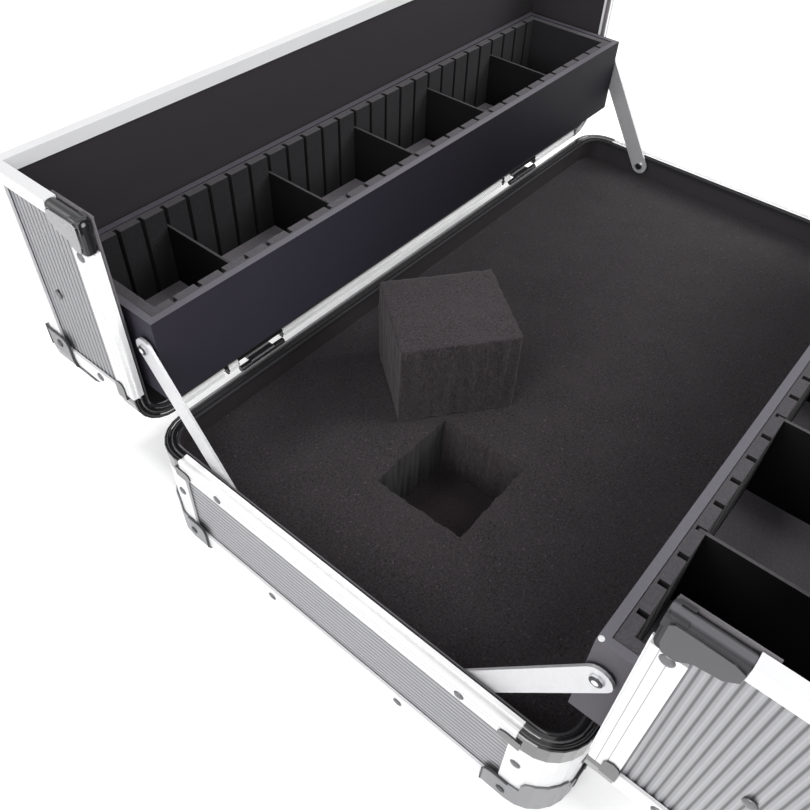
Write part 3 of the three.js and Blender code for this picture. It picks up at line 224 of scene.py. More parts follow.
def foam_surface(name, dark, light, grain=720, bump=0.14 * MM, speckle=0.6, streak=0.0, pores=0.8):
    """Open-cell foam: a fine dark and light grain, brighter flecks and soft blotches."""
    made = Surface(name, dark, 0.95, specular=0.1)
    made.shader.inputs["Sheen Weight"].default_value = 0.08
    made.shader.inputs["Sheen Roughness"].default_value = 0.6
    made.paint(made.spread(made.noise(grain, 2.0, 0.7), 0.36, 0.66), light)
    fleck = made.noise(grain * 0.7, 1.0, 0.5)
    made.paint(made.spread(fleck, 0.68, 0.75, 0.0, speckle), tuple(value * 2.4 for value in light))
    hole = made.noise(grain * 0.75, 1.0, 0.5)
    made.paint(made.spread(hole, 0.36, 0.30, 0.0, pores), tuple(value * 0.3 for value in dark))
    blotches = made.noise(26, 3.0, 0.55)
    made.paint(made.spread(blotches, 0.42, 0.7, 0.0, 0.25), tuple(value * 1.15 for value in light))
    if streak:
        fibres = made.noise(520, 2.0, 0.6, (1, 1, 0.3))
        made.paint(made.spread(fibres, 0.56, 0.72, 0.0, streak), tuple(value * 1.9 for value in light))
        made.paint(made.spread(fibres, 0.44, 0.30, 0.0, streak), tuple(value * 0.4 for value in dark))
    made.raise_by(made.noise(grain, 2.0, 0.7), bump)
    return made


def ribbed_surface(name, axis, start, level, mirrored=False):
    """Anodised skin whose valleys repeat at the rib pitch along an axis, from a given start, with painted
    shade in the valleys and a painted highlight on the crests.
    """

    def grey(value):
        return (value * level, value * level, value * level * 1.04)

    made = Surface(name, grey(0.33), 0.4, metallic=0.7)
    value = made.off_middle(axis) if mirrored else made.axis(axis)
    turn = made.calc("FRACT", made.calc("DIVIDE", made.calc("SUBTRACT", value, start), RIB_PITCH))
    from_crest = made.away(turn, 0.5)
    streaks = made.noise(60, 4.0, 0.6, (1, 1, 9) if axis == "Z" else (1, 9, 1))
    made.paint(made.spread(streaks, 0.35, 0.75, 0.0, 0.5), grey(0.38))
    # Painted shade darkens each valley, then a painted highlight lightens each crest.
    made.paint(made.spread(from_crest, 0.3, 0.44), grey(0.12))
    made.paint(made.spread(from_crest, 0.14, 0.0, 0.0, 0.7), grey(0.46))
    made.roughen(streaks, 0.3, 0.46)
    made.raise_by(made.noise(1400, 2.0, 0.5), 0.03 * MM)
    return made


def bright_surface(name, lines, colour=(0.66, 0.66, 0.67)):
    """Satin aluminium extrusion with fine drawn lines: [(axis, place, half width), ...]."""
    made = Surface(name, colour, 0.38)
    streaks = made.noise(30, 3.0, 0.55)
    made.paint(made.spread(streaks, 0.45, 0.75, 0.0, 0.35), tuple(value * 0.95 for value in colour))
    for axis, place, half in lines:
        value = made.off_middle(axis) if axis == "Y" else made.axis(axis)
        mask = made.stripe(value, place, half)
        made.paint(made.calc("MULTIPLY", mask, 0.8), (0.2, 0.2, 0.21))
    made.roughen(made.noise(60, 3.0, 0.6), 0.4, 0.52)
    return made


def plain_surface(
    name, colour, rough, metallic=0.0, coat=0.0, wear=None, grain=300, bump=0.02 * MM, bevel=0.0, shine=0.5
):
    """One colour with a fine texture of a second one, and a roughness between two values."""
    made = Surface(name, colour, sum(rough) / 2, metallic, coat, shine)
    if bevel:
        made.round_edges(bevel)
    texture = made.noise(grain, 4.0, 0.6)
    made.paint(made.spread(texture, 0.38, 0.72, 0.0, 0.6), wear or tuple(value * 1.3 for value in colour))
    made.roughen(texture, *rough)
    made.raise_by(texture, bump)
    return made


def arc_surface(name, axes, centre):
    """Glossy black cover with fine lighter arcs, painted highlights, round each rounded corner of the case.
    """
    made = plain_surface(name, (0.008, 0.008, 0.009), (0.1, 0.2), coat=0.5, grain=120, bevel=0.4 * MM)
    spans = []
    for axis, start in zip(axes, centre):
        away = made.calc("SUBTRACT", made.off_middle(axis), start)
        if axis == "Z":
            away = made.calc("MULTIPLY", away, -1.0)
        spans.append(made.calc("MAXIMUM", away, 0.0))
    radius = made.reach(spans)
    # Two painted highlights, as lighter arcs at fixed insets from the rounded corner.
    for inset_of_arc, half in ((2.2 * MM, 0.35 * MM), (5.6 * MM, 0.45 * MM)):
        arc = made.stripe(radius, CORNER_RADIUS - inset_of_arc, half)
        made.paint(made.calc("MULTIPLY", arc, 0.8), (0.09, 0.088, 0.092))
    return made


ARC_X = HALF_LENGTH - CORNER_RADIUS
SEAM = 0.25 * MM
RIM_LINES = [("Z", RIM_Z - 4.4 * MM, SEAM), ("Z", RIM_Z - 9.0 * MM, SEAM)]
LID_LINES = [("Y", LID_RIM_Y + 4.4 * MM, SEAM), ("Y", LID_RIM_Y + 9.0 * MM, SEAM)]
TOP_LINES = [("Y", HALF_DEPTH - 1.1 * MM, SEAM), ("Y", HALF_DEPTH - 2.2 * MM, 0.8 * SEAM)]
SURFACES = {
    # The lids' ribbed copies are painted darker than the tub's (level 0.78 against 0.89): painted shade.
    "ribbed_base": ribbed_surface("ribbed_base", "Z", RIM_Z - 79.1 * MM, 0.89),
    "ribbed_lid": ribbed_surface("ribbed_lid", "Y", LID_RIM_Y + 14.7 * MM, 0.78, mirrored=True),
    "ribbed_broad": ribbed_surface("ribbed_broad", "Z", LID_OUTER_Z + 19.45 * MM, 0.78),
    "rim_base": bright_surface("rim_base", RIM_LINES),
    # The rim's flat top along the hinges is a darker copy of the rim aluminium (painted shade), and at the
    # ends a lighter copy (painted light).
    "rim_top_shaded": bright_surface("rim_top_shaded", TOP_LINES, (0.27, 0.27, 0.28)),
    "rim_white_lit": bright_surface("rim_white_lit", [], (0.86, 0.855, 0.86)),
    # The lids' rim faces are a lighter copy of the rim aluminium again: painted light.
    "rim_bright_lit": bright_surface("rim_bright_lit", [], (0.95, 0.95, 0.955)),
    "rim_shade": bright_surface("rim_shade", [], (0.3, 0.3, 0.31)),
    "rim_lid": bright_surface("rim_lid", LID_LINES),
    "edge_trim": bright_surface("edge_trim", []),
    "outline": plain_surface("dark_outline", (0.02, 0.02, 0.022), (0.3, 0.5)),
    "guard_plate": plain_surface(
        "guard_plate_grey", (0.05, 0.049, 0.053), (0.4, 0.5), 0.2,
        wear=(0.06, 0.0585, 0.063), grain=50, bump=0.0, bevel=0.4 * MM,
    ),
    # The rear guards' plate is a lighter copy of the grey plate: painted reflection.
    "guard_plate_bright": plain_surface(
        "guard_plate_bright", (0.24, 0.24, 0.25), (0.25, 0.34), 0.5,
        wear=(0.3, 0.3, 0.31), grain=50, bump=0.0, bevel=0.4 * MM,
    ),
    "guard_channel_rear": plain_surface(
        "guard_channel_gloss", (0.014, 0.014, 0.016), (0.14, 0.28),
        coat=0.12, grain=120, bevel=0.5 * MM, shine=0.35,
    ),
    "guard_channel_front": plain_surface(
        "guard_channel_dark", (0.016, 0.016, 0.018), (0.4, 0.55), grain=120, bevel=0.5 * MM, shine=0.25
    ),
    "black_gloss": plain_surface(
        "black_gloss", (0.012, 0.012, 0.014), (0.1, 0.24), coat=0.6, grain=120, bevel=0.5 * MM
    ),
    "base_cover": arc_surface("base_cover_black", "XY", (ARC_X, HALF_DEPTH - CORNER_RADIUS)),
    "lid_cover": arc_surface("lid_cover_black", "XZ", (ARC_X, LID_OUTER_Z + CORNER_RADIUS)),
    "steel": plain_surface(
        "corner_steel_finish", (0.17, 0.17, 0.178), (0.26, 0.36), 0.7,
        wear=(0.23, 0.23, 0.24), grain=60, bump=0.0, bevel=0.9 * MM,
    ),
    "satin": plain_surface(
        "satin_bar", (0.52, 0.52, 0.535), (0.36, 0.5), 0.5, wear=(0.6, 0.6, 0.61), bevel=0.3 * MM
    ),
    "hinge": plain_surface(
        "hinge_steel_finish", (0.58, 0.58, 0.6), (0.26, 0.34), 0.92,
        wear=(0.64, 0.64, 0.655), grain=90, bump=0.0, bevel=0.25 * MM,
    ),
    "hinge_dark": plain_surface(
        "hinge_black", (0.022, 0.022, 0.024), (0.25, 0.4), 0.6, wear=(0.05, 0.05, 0.052)
    ),
    "rivet": plain_surface("rivet_steel", (0.1, 0.1, 0.105), (0.25, 0.4), 0.8, wear=(0.17, 0.17, 0.175)),
    "screw": plain_surface(
        "cap_screw_steel", (0.03, 0.03, 0.032), (0.25, 0.4), 0.8, wear=(0.07, 0.07, 0.073)
    ),
    "lining": plain_surface(
        "panel_lining", (0.0175, 0.0153, 0.0175), (0.8, 0.95),
        wear=(0.023, 0.0205, 0.023), grain=500, bump=0.12 * MM, shine=0.3,
    ),
    "wall_lining": plain_surface(
        "tub_lining", (0.027, 0.0235, 0.0255), (0.8, 0.95),
        wear=(0.034, 0.03, 0.0325), grain=500, bump=0.12 * MM, shine=0.1,
    ),
    "lining_edge": plain_surface(
        "lining_edge", (0.018, 0.017, 0.019), (0.6, 0.8), wear=(0.028, 0.026, 0.029), grain=200, shine=0.25
    ),
    "board": plain_surface(
        "tray_board_finish", (0.026, 0.0235, 0.034), (0.5, 0.65),
        wear=(0.031, 0.0285, 0.04), grain=700, bump=0.08 * MM, bevel=0.4 * MM, shine=0.12,
    ),
    # The front tray's left end takes a lighter copy of the board: painted light.
    "board_end_lit": plain_surface(
        "tray_board_end", (0.078, 0.073, 0.082), (0.5, 0.65), grain=700, bevel=0.4 * MM, shine=0.12
    ),
    "board_edge": plain_surface("tray_board_edge", (0.082, 0.077, 0.093), (0.5, 0.65), grain=400),
    "divider": plain_surface(
        "divider_finish", (0.0045, 0.0042, 0.0048), (0.8, 0.95),
        wear=(0.007, 0.0066, 0.0073), grain=500, bevel=0.3 * MM, shine=0.1,
    ),
    "divider_edge": plain_surface("divider_edge", (0.036, 0.033, 0.036), (0.6, 0.8), grain=400),
    "foam": foam_surface("foam_charcoal", (0.017, 0.014, 0.016), (0.036, 0.0315, 0.035)),
    # Copies of the foam for the pit by the way its faces point: a darker one for the walls facing along Y
    # (painted shade), a lighter one for the walls facing along X and a lighter one again for the floor
    # (painted light).
    "pit_wall_shaded": foam_surface("foam_pit_dark", (0.008, 0.0062, 0.007), (0.016, 0.0135, 0.015), streak=0.5),
    "pit_wall_lit": foam_surface("foam_pit_light", (0.017, 0.0135, 0.0155), (0.034, 0.029, 0.0325), streak=0.5),
    "pit_floor_lit": foam_surface(
        "foam_pit_floor", (0.036, 0.0285, 0.0325), (0.045, 0.0372, 0.0415), speckle=0.1
    ),
    "cube": foam_surface("foam_cube_charcoal", (0.018, 0.0148, 0.017), (0.04, 0.0345, 0.0385)),
    # The cube's sides take a darker copy of its foam, with streaks of torn foam: painted shade.
    "cube_side_shaded": foam_surface(
        "foam_cube_side", (0.014, 0.0112, 0.0128), (0.032, 0.0275, 0.0305), streak=0.45
    ),
    "liner": foam_surface(
        "liner_foam_fine", (0.008, 0.0075, 0.0088), (0.013, 0.0122, 0.0142), speckle=0.1, pores=0.0
    ),
    # The slots' walls are painted near black: painted shade in the slots.
    "slot": plain_surface("liner_slot_shade", (0.0012, 0.0011, 0.0013), (0.9, 1.0)),
    "liner_top": foam_surface(
        "liner_top_edge", (0.056, 0.052, 0.058), (0.076, 0.071, 0.079), speckle=0.1, pores=0.0
    ),
    "tray_floor": foam_surface(
        "tray_floor_pad", (0.26, 0.245, 0.262), (0.32, 0.3, 0.322), speckle=0.1, pores=0.0
    ),
    # The front lid's pads take a darker copy of the pad material: painted shade.
    "front_pad_shaded": foam_surface(
        "front_floor_pad_shaded", (0.19, 0.175, 0.195), (0.23, 0.215, 0.235), speckle=0.1, pores=0.0
    ),
}
BLACK = (0.01, 0.01, 0.011)


def darken_inner_rim_top():
    """The inner half of the rim's flat top along the hinges is painted as dark as the lining."""
    top = SURFACES["rim_top_shaded"]
    inner_half = top.spread(top.off_middle("Y"), HALF_DEPTH - 2.3 * MM, HALF_DEPTH - 2.7 * MM)
    top.paint(inner_half, (0.017, 0.0155, 0.017))


def shade_boards():
    """The smooth board front is bluer in the middle and darker to the right: a painted reflection."""
    board = SURFACES["board"]
    along = board.axis("X")
    # Painted reflection: the board darkens towards the right.
    board.paint(board.spread(along, -0.2, 0.08, 0.0, 0.92), (0.0036, 0.0033, 0.0056))
    board.paint(board.spread(along, -0.2, -0.28, 0.0, 0.5), (0.026, 0.0235, 0.031))


def shade_wall():
    """The tub's right end wall is painted lighter than its long walls: painted light."""
    wall = SURFACES["wall_lining"]
    wall.paint(wall.spread(wall.axis("X"), 0.288, 0.291), (0.036, 0.033, 0.037))


def shade_lips():
    """The lining's rounded lip is lighter towards the free edges of the lids, and has a painted highlight
    along it at the left end.
    """
    lip = SURFACES["lining_edge"]
    lip.paint(lip.spread(lip.axis("Z"), 0.16, 0.22), (0.095, 0.089, 0.096))
    # Painted highlight: a light line along the lip at the left end.
    end = lip.band(lip.axis("X"), -0.2899, 0.5 * MM)
    lip.paint(lip.calc("MULTIPLY", end, 0.9), (0.13, 0.125, 0.132))


def shade_hinges():
    """Black leaves with a fine line cross the lid's rim at each hinge, beside a narrow gap that is painted
    black as painted shade.
    """
    for name in ("rim_bright_lit", "rim_lid", "rim_shade"):
        rim = SURFACES[name]
        near = rim.spread(rim.off_middle("Y"), LID_RIM_Y + 3.4 * MM, LID_RIM_Y + 3.6 * MM, 1.0, 0.0)
        along = rim.axis("X")
        line = rim.band(rim.axis("Z"), LID_OUTER_Z + 5.6 * MM, 0.35 * MM)
        for place in (-0.189, 0.1695):
            leaf = rim.calc("MULTIPLY", near, rim.band(along, place, 23 * MM))
            gap = rim.calc("MULTIPLY", near, rim.band(along, place - 34.3 * MM, 1.9 * MM))
            rim.paint(leaf, BLACK)
            rim.paint(rim.calc("MULTIPLY", leaf, line), (0.16, 0.16, 0.165))
            # Painted shade: the narrow gap beside each hinge is painted black.
            rim.paint(gap, BLACK)


def shade_guards():
    """A lighter strip along the front channels is a painted reflection, and a small bright spot is painted at
    each guard's corner.
    """
    strip = SURFACES["guard_channel_front"]
    across = strip.away(strip.off_middle("X"), 0.2962)
    # Painted reflection along the middle of the rounded front channel.
    strip.paint(strip.spread(across, 1.2 * MM, 2.4 * MM, 0.9, 0.0), (0.1, 0.098, 0.106))
    for side, sign in LIDS.items():
        channel = SURFACES["guard_channel_" + side]
        depth = channel.axis("Y") if sign > 0 else channel.off_middle("Y")
        gaps = [
            channel.away(channel.off_middle("X"), 0.2968),
            channel.away(depth, LID_RIM_Y + 1.5 * MM),
            channel.away(channel.axis("Z"), LID_OUTER_Z + 0.1705),
        ]
        # A small bright spot is painted where the channel's arms meet.
        channel.paint(channel.spread(channel.reach(gaps), 1.3 * MM, 2.2 * MM, 1.0, 0.0), (0.45, 0.45, 0.46))


def shade_surfaces():
    shade_boards()
    darken_inner_rim_top()
    shade_wall()
    shade_lips()
    shade_hinges()
    shade_guards()


def dress(obj, *names):
    obj.data.materials.clear()
    for name in names:
        obj.data.materials.append(SURFACES[name].material)


def dress_faces(obj, names, choose):
    """Gives each face of an object the surface that choose(centre, normal) names."""
    dress(obj, *names)
    for face in obj.data.polygons:
        face.material_index = names.index(choose(face.center, face.normal))


def inset(x, depth, half_length, half_depth, radius):
    """How far a point lies inside a rounded rectangle round the middle."""
    dx, dy = half_length - abs(x), half_depth - abs(depth)
    if dx < radius and dy < radius:
        return radius - math.hypot(radius - dx, radius - dy)
    return min(dx, dy)


def close_to(first, second, reach):
    """True where two places in a plane differ by less than the reach along both axes."""
    return abs(first[0] - second[0]) < reach and abs(first[1] - second[1]) < reach


def tub_face(centre, normal):
    if inset(centre.x, centre.y, HALF_LENGTH, HALF_DEPTH, CORNER_RADIUS) < PANEL_MIDDLE:
        return "ribbed_base"
    if abs(centre.x) > 0.28 and close_to((abs(centre.y), centre.z), GROUND_PIVOT, 4.5 * MM):
        return "hinge"
    return "wall_lining" if centre.z > 6.5 * MM else "board"


def lid_face(sign):
    far = 0.5

    def choose(centre, normal):
        depth = sign * centre.y - LID_RIM_Y
        across = centre.z - LID_OUTER_Z
        on_stud = close_to((across, depth), (TRAY_PIVOT_ACROSS, TRAY_PIVOT_DEPTH), 5 * MM)
        if on_stud and 0.281 < abs(centre.x) < HALF_LENGTH - PANEL_INNER + 0.1 * MM:
            return "hinge"
        if depth > LID_DEPTH - 3.5 * MM:
            return "ribbed_broad"
        if across < CORNER_RADIUS and abs(centre.x) > HALF_LENGTH - CORNER_RADIUS:
            outer = inset(centre.x, far - across, HALF_LENGTH, far, CORNER_RADIUS) < PANEL_MIDDLE
        else:
            outer = min(across, HALF_LENGTH - abs(centre.x)) < PANEL_MIDDLE
        return "ribbed_lid" if outer else "lining"

    return choose


def dress_frame():
    dress_faces(NODES["base_shell"], ["ribbed_base", "wall_lining", "hinge", "board"], tub_face)
    dress_faces(NODES["base_rim_frame"], ["rim_base", "rim_top_shaded", "rim_white_lit", "lining_edge"], rim_face)
    dress(NODES["base_edge_frame"], "edge_trim")
    for side, sign in LIDS.items():
        shell = NODES[side + "_lid_shell"]
        rim = NODES[side + "_lid_rim_frame"]
        dress_faces(shell, ["ribbed_lid", "ribbed_broad", "lining", "hinge"], lid_face(sign))
        dress_faces(rim, ["rim_lid", "rim_bright_lit", "rim_shade", "hinge_dark"], lid_rim_face)
        dress(NODES[side + "_lid_edge_frame"], "edge_trim")
        for end in ENDS:
            dress(NODES["%s_strut_%s" % (side, end)], "satin")
            dress(NODES["%s_hinge_%s" % (side, end)], "hinge_dark")
        tray = NODES[side + "_tray_shell"]
        dress_faces(tray, ["board", "board_end_lit", "board_edge", "hinge", "divider"], tray_face)
    for name, obj in NODES.items():
        if "corner_guard" in name:
            dress_faces(obj, *guard_faces(name.split("_")[0]))
        elif "rim_corner" in name:
            dress(obj, "base_cover" if name.startswith("base") else "lid_cover")
        elif name == "handle_bail":
            dress(obj, "black_gloss")
        elif "corner_cap" in name:
            dress(obj, "steel")
        elif name.startswith("latch") or name == "handle_plate":
            dress(obj, "hinge")
        elif "divider" in name:
            dress_faces(obj, ["divider", "divider_edge"], divider_face)


def rim_face(centre, normal):
    inner = inset(centre.x, centre.y, HALF_LENGTH, HALF_DEPTH, CORNER_RADIUS)
    if inner > 7.5 * MM and centre.z > RIM_Z - 9 * MM and normal.z < 0.5:
        return "lining_edge"
    if centre.z < RIM_Z - 2 * MM or inner < 0.1 * MM:
        return "rim_base"
    # The top takes the darker copy along the hinges (painted shade) and the lighter copy elsewhere (painted
    # light).
    return "rim_top_shaded" if abs(centre.y) > HALF_DEPTH - 10 * MM else "rim_white_lit"


def lid_rim_face(centre, normal):
    if math.hypot(abs(centre.y) - HINGE_Y, centre.z - HINGE_Z) < 3.2 * MM:
        return "hinge_dark"
    if centre.z < LID_OUTER_Z + 0.6 * MM:
        return "rim_shade"
    # The lid rim's flat face at the rim plane takes the lighter copy: painted light.
    return "rim_bright_lit" if abs(normal.y) > 0.8 and abs(centre.y) < LID_RIM_Y + 1 * MM else "rim_lid"


def guard_faces(side):
    """The pressed plate, the strip round it and the glossy channel of a lid's corner guard."""
    channel = "guard_channel_" + side
    # The rear guard's plate takes the lighter copy: painted reflection.
    plate, border = ("guard_plate_bright", "guard_plate") if side == "rear" else ("guard_plate", channel)

    def choose(centre, normal):
        if abs(centre.x) < HALF_LENGTH + 0.5 * MM:
            return channel
        near_edge = abs(centre.y) - LID_RIM_Y < 2.6 * MM or centre.z - LID_OUTER_Z > 0.1709
        return border if near_edge else plate

    return sorted({channel, plate, border}), choose


def tray_face(centre, normal):
    if abs(centre.x) > TRAY_STUD_START:
        return "hinge"
    if centre.z > TRAY_TOP:
        return "board_edge"
    # Painted light: the front tray's left end face takes the lighter board copy.
    if centre.y < 0 and centre.x < -TRAY_END and normal.x < -0.5:
        return "board_end_lit"
    return "board" if abs(normal.z) < 0.5 or centre.z < TRAY_UNDERSIDE else "divider"


def divider_face(centre, normal):
    return "divider_edge" if normal.z > 0.5 else "divider"


# Building blocks


def new_object(name, mesh):
    obj = bpy.data.objects.new(name, mesh)
    bpy.context.scene.collection.objects.link(obj)
    return obj


def from_bmesh(name, bm, smooth=True):
    mesh = bpy.data.meshes.new(name)
    bmesh.ops.recalc_face_normals(bm, faces=bm.faces)
    bm.to_mesh(mesh)
    bm.free()
    for face in mesh.polygons:
        face.use_smooth = smooth
    return new_object(name, mesh)


def apply_modifiers(obj):
    depsgraph = bpy.context.evaluated_depsgraph_get()
    made = bpy.data.meshes.new_from_object(obj.evaluated_get(depsgraph), depsgraph=depsgraph)
    obj.modifiers.clear()
    old = obj.data
    obj.data = made
    bpy.data.meshes.remove(old)


def copy_of(node, name):
    return new_object(name, NODES[node].data.copy())


def remeshed(obj, voxel):
    modifier = obj.modifiers.new("voxels", "REMESH")
    modifier.mode = "VOXEL"
    modifier.voxel_size = voxel
    modifier.use_smooth_shade = True
    apply_modifiers(obj)


def finish_piece(obj, body):
    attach(obj, body)


# Foam


def worn_foam(obj, amount, scale, extra):
    """Moves the points of a foam piece a little, as cut open-cell foam has it."""
    for vertex in obj.data.vertices:
        point = vertex.co
        vertex.co = point + (noise.noise_vector(point * scale) * amount + extra(point))


FOAM_TOP = RIM_Z - 0.024
PIT = ((-0.2082, -0.13020), (-0.03396, 0.03954))
PIT_BOTTOM = FOAM_TOP - 0.056
PIT_STEPS = 9
BLOCK_X, BLOCK_Y, BLOCK_RADIUS = 0.2933, 0.1673, 0.0213
BLOCK_BOTTOM = 0.0082
COARSE, FINE = 5 * MM, 1.5 * MM


def lines(low, high, cuts, coarse, fine):
    """Grid lines from low to high, fine between the two cuts and coarse outside them."""
    spans = [(low, cuts[0], coarse), (cuts[0], cuts[1], fine), (cuts[1], high, coarse)]
    places = [low]
    for start, end, step in spans:
        count = max(1, round((end - start) / step))
        places += [start + (end - start) * (i + 1) / count for i in range(count)]
    return places


def rounded_place(x, y):
    """Pulls a point of the square grid into the block's rounded corners."""
    cx, cy = BLOCK_X - BLOCK_RADIUS, BLOCK_Y - BLOCK_RADIUS
    dx, dy = abs(x) - cx, abs(y) - cy
    if dx <= 0 or dy <= 0:
        return x, y
    share = max(dx, dy) / math.hypot(dx, dy)
    return math.copysign(cx + dx * share, x), math.copysign(cy + dy * share, y)


def torn(x, y, z):
    """How far the pit's wall stands out here, in narrow upright strips."""
    strip = noise.noise(Vector((x * 260, y * 260, z * 22)))
    wide = noise.noise(Vector((x * 70, y * 70, z * 9)) + Vector((5, 5, 5)))
    return strip * 1.1 * MM + wide * 1.3 * MM


def make_foam_block():
    """The block as one closed grid: a soft uneven top, and a pit with torn walls."""
    (x0, x1), (y0, y1) = PIT
    xs = lines(-BLOCK_X, BLOCK_X, (x0, x1), COARSE, FINE)
    ys = lines(-BLOCK_Y, BLOCK_Y, (y0, y1), COARSE, FINE)
    last_x, last_y = len(xs) - 1, len(ys) - 1
    a, b = (min(range(len(xs)), key=lambda i: abs(xs[i] - cut)) for cut in (x0, x1))
    c, d = (min(range(len(ys)), key=lambda j: abs(ys[j] - cut)) for cut in (y0, y1))
    bm = bmesh.new()
    made = {}

    def wall_shift(i, j, z):
        sx = -1 if i == a else 1 if i == b else 0
        sy = -1 if j == c else 1 if j == d else 0
        if sx and sy:
            return Vector((0, 0, 0))
        out = torn(xs[i], ys[j], z)
        return Vector((sx * out, sy * out, 0))

    def point(i, j, level, z):
        key = (i, j, level)
        if key not in made:
            x, y = rounded_place(xs[i], ys[j])
            place = Vector((x, y, z))
            on_wall = (i in (a, b) and c <= j <= d) or (j in (c, d) and a <= i <= b)
            if on_wall:
                place += wall_shift(i, j, z)
            if level == "top":
                place.z += noise.noise(Vector((x * 45, y * 45, 2))) * 0.35 * MM
                if on_wall:
                    place.z += (noise.noise(Vector((x * 300, y * 300, 4))) * 0.7 - 0.2) * MM
            made[key] = bm.verts.new(place)
        return made[key]

    def face(level, z, corners):
        bm.faces.new([point(p, q, level, z) for p, q in corners])

    for i in range(last_x):
        for j in range(last_y):
            in_pit = a <= i < b and c <= j < d
            level, z = ("floor", PIT_BOTTOM) if in_pit else ("top", FOAM_TOP)
            face(level, z, ((i, j), (i + 1, j), (i + 1, j + 1), (i, j + 1)))
            face("bottom", BLOCK_BOTTOM, ((i, j), (i, j + 1), (i + 1, j + 1), (i + 1, j)))

    def wall(ring, foot, z_foot, steps):
        """Joins the top to a lower level along a ring of grid places."""
        levels = [("top", FOAM_TOP)]
        for k in range(1, steps):
            levels.append(("%s%d" % (foot, k), FOAM_TOP + (z_foot - FOAM_TOP) * k / steps))
        levels.append((foot, z_foot))
        for start, end in zip(ring, ring[1:] + ring[:1]):
            for upper, lower in zip(levels, levels[1:]):
                corners = ((start, upper), (end, upper), (end, lower), (start, lower))
                bm.faces.new([point(*place, *level) for place, level in corners])

    ring = [(i, c) for i in range(a, b)] + [(b, j) for j in range(c, d)]
    ring += [(i, d) for i in range(b, a, -1)] + [(a, j) for j in range(d, c, -1)]
    wall(ring, "floor", PIT_BOTTOM, PIT_STEPS)
    ring = [(i, 0) for i in range(last_x)] + [(last_x, j) for j in range(last_y)]
    ring += [(i, last_y) for i in range(last_x, 0, -1)] + [(0, j) for j in range(last_y, 0, -1)]
    wall(ring, "bottom", BLOCK_BOTTOM, 2)
    block = from_bmesh("foam_block_cut", bm)
    block.data.set_sharp_from_angle(angle=math.radians(50))

    def choose(centre, normal):
        by_pit = x0 - 3 * MM < centre.x < x1 + 3 * MM and y0 - 3 * MM < centre.y < y1 + 3 * MM
        # Painted light on the pit's floor, and painted shade or light on its walls by the way they face.
        if by_pit and centre.z < PIT_BOTTOM + 1 * MM and normal.z > 0.5:
            return "pit_floor_lit"
        if by_pit and abs(normal.z) < 0.6:
            return "pit_wall_shaded" if abs(normal.y) > abs(normal.x) else "pit_wall_lit"
        return "foam"

    dress_faces(block, ["foam", "pit_wall_shaded", "pit_wall_lit", "pit_floor_lit"], choose)
    finish_piece(block, "base")
    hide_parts("foam_block")


CUBE_CENTRE = Vector((-0.09522, 0.0688, 0))
CUBE_TURN = math.radians(-37.7)


def cube_wear(point):
    """Ragged lower edge and slightly hollow sides of the torn-out cube."""
    local = Matrix.Rotation(-CUBE_TURN, 3, "Z") @ (point - CUBE_CENTRE)
    height = point.z - FOAM_TOP
    ragged = noise.noise(Vector((point.x * 130, point.y * 130, 1.7))) * 2.2 * MM
    low = max(0.0, 1 - height / 0.012)
    strips = noise.noise(Vector((local.x * 150, local.y * 150, point.z * 20)))
    halves = ((local.x, 0.036), (local.y, 0.033))
    on_side = [math.copysign(abs(place) > half, place) for place, half in halves]
    out = Matrix.Rotation(CUBE_TURN, 3, "Z") @ Vector((*on_side, 0))
    return Vector((0, 0, max(0.0, ragged) * low)) + out * (strips * 0.9 * MM - 0.3 * MM)


def make_foam_cube():
    cube = copy_of("foam_cube", "foam_cube_cut")
    remeshed(cube, 1.6 * MM)
    worn_foam(cube, 0.4 * MM, 90, cube_wear)
    # The sides take the darker copy: painted shade.
    dress_faces(cube, ["cube", "cube_side_shaded"], lambda centre, normal: "cube" if normal.z > 0.6 else "cube_side_shaded")
    finish_piece(cube, "base")
    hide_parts("foam_cube")
    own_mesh(cube)


def make_tray_liner(side):
    liner = copy_of(side + "_tray_liner", side + "_liner_foam")
    bevel = liner.modifiers.new("soft edges", "BEVEL")
    bevel.width = 0.5 * MM
    bevel.segments = 2
    apply_modifiers(liner)
    top = max(vertex.co.z for vertex in liner.data.vertices)

    def choose(centre, normal):
        if centre.z > top - 0.7 * MM:
            return "liner_top"
        in_slot = any(low < abs(centre.y) < high for low, high in SLOT_DEPTHS)
        upright = abs(normal.z) < 0.5
        # Slot walls take the near-black copy: painted shade.
        return "slot" if in_slot and upright and abs(centre.x) < SLOT_REACH else "liner"

    dress_faces(liner, ["liner", "liner_top", "slot"], choose)
    for face in liner.data.polygons:
        face.use_smooth = False
    finish_piece(liner, side + "_tray")
    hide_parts(side + "_tray_liner")


def grid_sheet(name, x_range, y_range, z, thickness, step, wave):
    """A closed thin pad with a gently uneven top."""
    bm = bmesh.new()
    (x0, x1), (y0, y1) = x_range, y_range
    nx, ny = (max(2, round((high - low) / step)) for low, high in (x_range, y_range))
    places = {}
    for level in (0, 1):
        for i in range(nx + 1):
            for j in range(ny + 1):
                x = x0 + (x1 - x0) * i / nx
                y = y0 + (y1 - y0) * j / ny
                lift = thickness + noise.noise(Vector((x * 30, y * 30, 3))) * wave if level else 0
                places[level, i, j] = bm.verts.new((x, y, z + lift))

    def face(*corners):
        bm.faces.new([places[corner] for corner in corners])

    for level in (0, 1):
        for i in range(nx):
            for j in range(ny):
                face((level, i, j), (level, i + 1, j), (level, i + 1, j + 1), (level, i, j + 1))
    for i in range(nx):
        for j in (0, ny):
            face((0, i, j), (0, i + 1, j), (1, i + 1, j), (1, i, j))
    for j in range(ny):
        for i in (0, nx):
            face((0, i, j), (0, i, j + 1), (1, i, j + 1), (1, i, j))
    return from_bmesh(name, bm, smooth=False)


